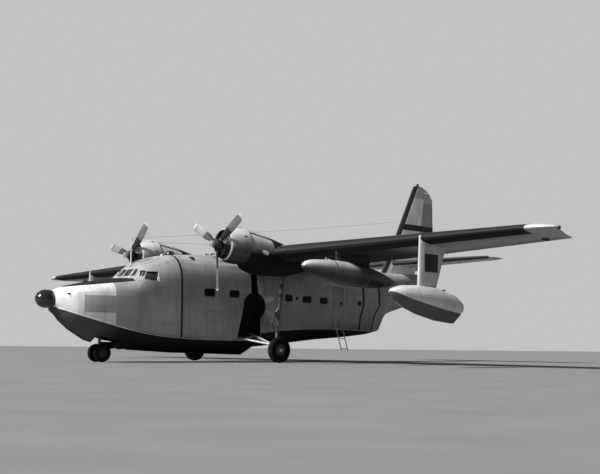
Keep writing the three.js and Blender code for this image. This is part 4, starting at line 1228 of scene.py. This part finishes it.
# Propellers: a clamp round each blade root, and the dome's nut
CLAMP = [(0.072, 0.14), (0.092, 0.145), (0.096, 0.17), (0.092, 0.2), (0.096, 0.23), (0.088, 0.25),
         (0.07, 0.25), (0.066, 0.2)]
HUB_NUT = [(0, 0.235), (0.075, 0.235), (0.1, 0.25), (0.11, 0.3), (0.06, 0.302), (0.05, 0.33), (0, 0.335)]
for name, side in SIDES.items():
    hub = at(PROP_STATION, side * ENGINE_Y, ENGINE_Z)
    for k in range(3):
        turn = math.radians(BLADE_START[name] + 120 * k)
        clamp = turned(CLAMP, hub, (0, math.sin(turn), math.cos(turn)), 24)
        finish(clamp, f"blade_clamp_{k + 1}_{name}", "engine", f"propeller_{name}")
    nut = turned(HUB_NUT, hub - Vector((0.03, 0, 0)), (1, 0, 0), 24)
    finish(nut, f"hub_nut_{name}", "ladder", f"propeller_{name}")

# Drop tanks: bands, a filler cap and the lifting eye
TANK_BANDS = [(1.2, 0.348), (2.62, 0.361), (3.5, 0.246)]  # distance along the tank, and radius
tank_axis = Vector((-math.cos(TANK_TILT), 0, -math.sin(TANK_TILT)))
tank_nose = at(TANK_NOSE[0], TANK_Y, TANK_NOSE[1])
for number, (reach, radius) in enumerate(TANK_BANDS, start=1):
    profile = [(radius - 0.006, -0.02), (radius + 0.003, -0.018), (radius + 0.004, 0.018),
               (radius - 0.006, 0.02)]
    band = turned(profile, tank_nose + tank_axis * reach, tank_axis, 40)
    finish_pair(band, f"tank_band_{number}", "window_frame")
cap_foot = tank_nose + tank_axis * 1.14 + rise(0.335)
eye = [(0.1, 0, 0), (0.1, 0, 0.07), (0.15, 0, 0.07), (0.15, 0, 0)]
cap = joined([
    turned([(0, 0), (0.055, 0), (0.055, 0.018), (0.04, 0.026), (0, 0.026)], cap_foot, (0, 0, 1), 20),
    rod([cap_foot + Vector(spot) for spot in eye], 0.009),
])
finish_pair(cap, "tank_cap", "trim")

# Floats: a keel strip and two cleats on the deck
FLOAT = shell_of("float_port")
KEEL_STATIONS = (6.3, 6.6, 7.1, 7.9, 8.3, 8.7)
CLEAT_STATIONS = (6.75, 8.35)
line = [hit(FLOAT, at(station, FLOAT_Y, 0.5), (0, 0, 1))[0] - rise(0.003) for station in KEEL_STATIONS]
finish_pair(rod(line, 0.014), "float_keel", "trim")
for number, station in enumerate(CLEAT_STATIONS, start=1):
    place, _ = hit(FLOAT, at(station, FLOAT_Y, 5), (0, 0, -1))
    cleat = joined([
        block(place + rise(0.02), (0.05, 0.03, 0.05), 0.006),
        rod([place + Vector((0.08, 0, 0.05)), place + Vector((-0.08, 0, 0.05))], 0.012, 12),
    ])
    finish_pair(cleat, f"float_cleat_{number}", "dark_trim")

# Landing gear: a cap, bolts and a ring on each wheel, and the fittings and scissor links of each leg
WHEEL_FACE = 0.085  # how far the rim's outer face is from the wheel's middle
WHEEL_BOLTS = 10
WHEEL_BOLT_REACH = 0.13
LEG = shell_of("main_leg_port")
# z, length and height of each block on a leg
LEG_FITTINGS = [(1.62, 0.1, 0.1), (1.82, 0.13, 0.14), (2.5, 0.09, 0.12), (2.86, 0.1, 0.18)]


def wheel_centre(side):
    """The middle of a main wheel's outer face."""
    return at(WHEEL_STATION, side * (WHEEL_Y + WHEEL_FACE), WHEEL_RADIUS)


def on_leg(z):
    return nearest(LEG, at(7.6, 2.6, z))[0]


for name, side in SIDES.items():
    centre = wheel_centre(side)
    out = Vector((0, side, 0))
    cap = turned([(0, -0.02), (0.075, -0.02), (0.075, 0.03), (0.06, 0.045), (0, 0.05)], centre, out, 24)
    finish(cap, f"wheel_cap_{name}", "bright_gear", f"main_wheel_{name}")
    bolts = []
    for k in range(WHEEL_BOLTS):
        turn = math.tau * k / WHEEL_BOLTS
        spot = centre + Vector((WHEEL_BOLT_REACH * math.sin(turn), 0, WHEEL_BOLT_REACH * math.cos(turn)))
        bolts.append(rod([spot - out * 0.03, spot + out * 0.012], 0.012, 12))
    finish(joined(bolts), f"wheel_bolts_{name}", "bright_gear", f"main_wheel_{name}")
fittings = []
for z, length, height in LEG_FITTINGS:
    place = on_leg(z)
    fittings.append(block(place + Vector((-0.03, 0, 0)), (length, 0.11, height), 0.012, (0.8, 0.8)))
    pin = Vector((0, 0.09, -0.02))
    middle = place + Vector((0.03, 0, 0))
    fittings.append(rod([middle - pin, middle + pin], 0.02, 12))
upper = on_leg(1.8)
lower = on_leg(1.15)
elbow = (upper + lower) / 2 + Vector((0.16, 0, 0))
for sideways in (-0.05, 0.05):
    across = Vector((0, sideways, 0))
    fittings.append(rod([upper + across, elbow + across * 0.3, lower + across], 0.016, 12))
finish_pair(joined(fittings), "leg_fittings", "dark_trim")
for name, side in SIDES.items():
    ring = turned([(0.175, -0.01), (0.19, -0.012), (0.196, 0.004), (0.186, 0.014), (0.175, 0.008)],
                  wheel_centre(side), (0, side, 0), 36)
    finish(ring, f"wheel_ring_{name}", "gear", f"main_wheel_{name}")

# Wings: hinge brackets under the trailing edge, by number, as y and station
WINGS = shell_of("wing_centre", "wing_port")
HINGE_BRACKETS = {1: (1.9, 10.1), 2: (3.7, 10.08), 8: (13.4, 9.06)}
for number, (y, station) in HINGE_BRACKETS.items():
    place, _ = hit(WINGS, at(station, y, 1.5), (0, 0, 1))
    bracket = block(place - Vector((-0.02, 0, 0.02)), (0.34, 0.03, 0.07), 0.006, (1.0, 0.7))
    finish_pair(bracket, f"hinge_bracket_{number}", "dark_trim")

# Static wicks: for each surface its body, the y of each wick, and a far station and z behind its edge
WICKS = {
    "aileron": ("aileron_port", (9.2, 10.8, 12.4, 13.6), 16, 3.72),
    "elevator": ("elevators", (2.4, 3.4, 4.1), 24, 4.2),
}
WICK_LENGTH = 0.13
for name, (body, distances, far_station, far_z) in WICKS.items():
    surface = shell_of(name + "_port")
    for number, y in enumerate(distances, start=1):
        place, _ = nearest(surface, at(far_station, y, far_z))
        wick = rod([place + Vector((0.02, 0, 0)), place - Vector((WICK_LENGTH, 0, 0.01))], 0.004)
        finish_pair(wick, f"{name}_wick_{number}", "dark_trim", body)

# Lights on the wing tips and on the fin
tip_place, _ = nearest(shell_of("wing_tip_port"), at(7.9, 17, 3.8))
lamp = turned([(0, -0.03), (0.05, -0.03), (0.048, 0.01), (0.03, 0.035), (0, 0.045)], tip_place,
              (0.3, 1, 0), 20)
finish_pair(lamp, "wing_light", "pane")
fin_top, _ = nearest(shell_of("fin"), at(18.15, 0, 9))
beacon = turned([(0, -0.03), (0.07, -0.03), (0.07, 0.02), (0.055, 0.05), (0.055, 0.09), (0.03, 0.12),
                 (0, 0.125)], fin_top, (0, 0, 1), 24)
finish(beacon, "fin_beacon", "pane")


# Floor, light and camera

def make_floor():
    bpy.ops.object.select_all(action="DESELECT")
    bpy.ops.mesh.primitive_circle_add(vertices=64, radius=FLOOR_RADIUS, fill_type="NGON",
                                      location=(0, 0, -0.004))
    floor = bpy.context.object
    floor.name = "floor"
    floor.data.materials.append(floor_paint())


def make_light():
    """A pale backdrop that lights softly, and a broad sun from ahead."""
    world = bpy.data.worlds.new("studio")
    bpy.context.scene.world = world
    world.use_nodes = True
    graph = Graph(world.node_tree)
    world.node_tree.nodes.clear()
    seen = graph.add("ShaderNodeLightPath").outputs["Is Camera Ray"]
    back = graph.add("ShaderNodeBackground")
    graph.feed(back.inputs["Color"], graph.mix(seen, 0.15, 0.54))
    end = graph.add("ShaderNodeOutputWorld")
    graph.tree.links.new(back.outputs[0], end.inputs[0])
    key = bpy.data.lights.new("key", "SUN")
    key.energy = 6.8
    key.angle = math.radians(9)
    lamp = bpy.data.objects.new("key", key)
    bpy.context.collection.objects.link(lamp)
    lamp.rotation_mode = "QUATERNION"
    lamp.rotation_quaternion = Vector(SUN_FROM).to_track_quat("Z", "Y")


def make_camera():
    """The photograph's viewpoint."""
    heading, tilt, roll = (math.radians(value) for value in CAMERA_TURNS)
    level = Vector((-math.sin(heading), -math.cos(heading), 0))
    right = Vector((-math.cos(heading), math.sin(heading), 0))
    ahead = level * math.cos(tilt) + Vector((0, 0, math.sin(tilt)))
    up = Vector((0, 0, math.cos(tilt))) - level * math.sin(tilt)
    across = right * math.cos(roll) + up * math.sin(roll)
    over = -right * math.sin(roll) + up * math.cos(roll)
    camera = bpy.data.objects.new("camera", bpy.data.cameras.new("camera"))
    bpy.context.collection.objects.link(camera)
    turn = Matrix((across, over, -ahead)).transposed().to_4x4()
    camera.matrix_world = Matrix.Translation(Vector(CAMERA_PLACE)) @ turn
    camera.data.sensor_width = 36
    camera.data.lens = CAMERA_LENS
    camera.data.clip_end = 1000
    bpy.context.scene.camera = camera


make_floor()
make_light()
make_camera()
bpy.context.scene.view_settings.view_transform = "Standard"
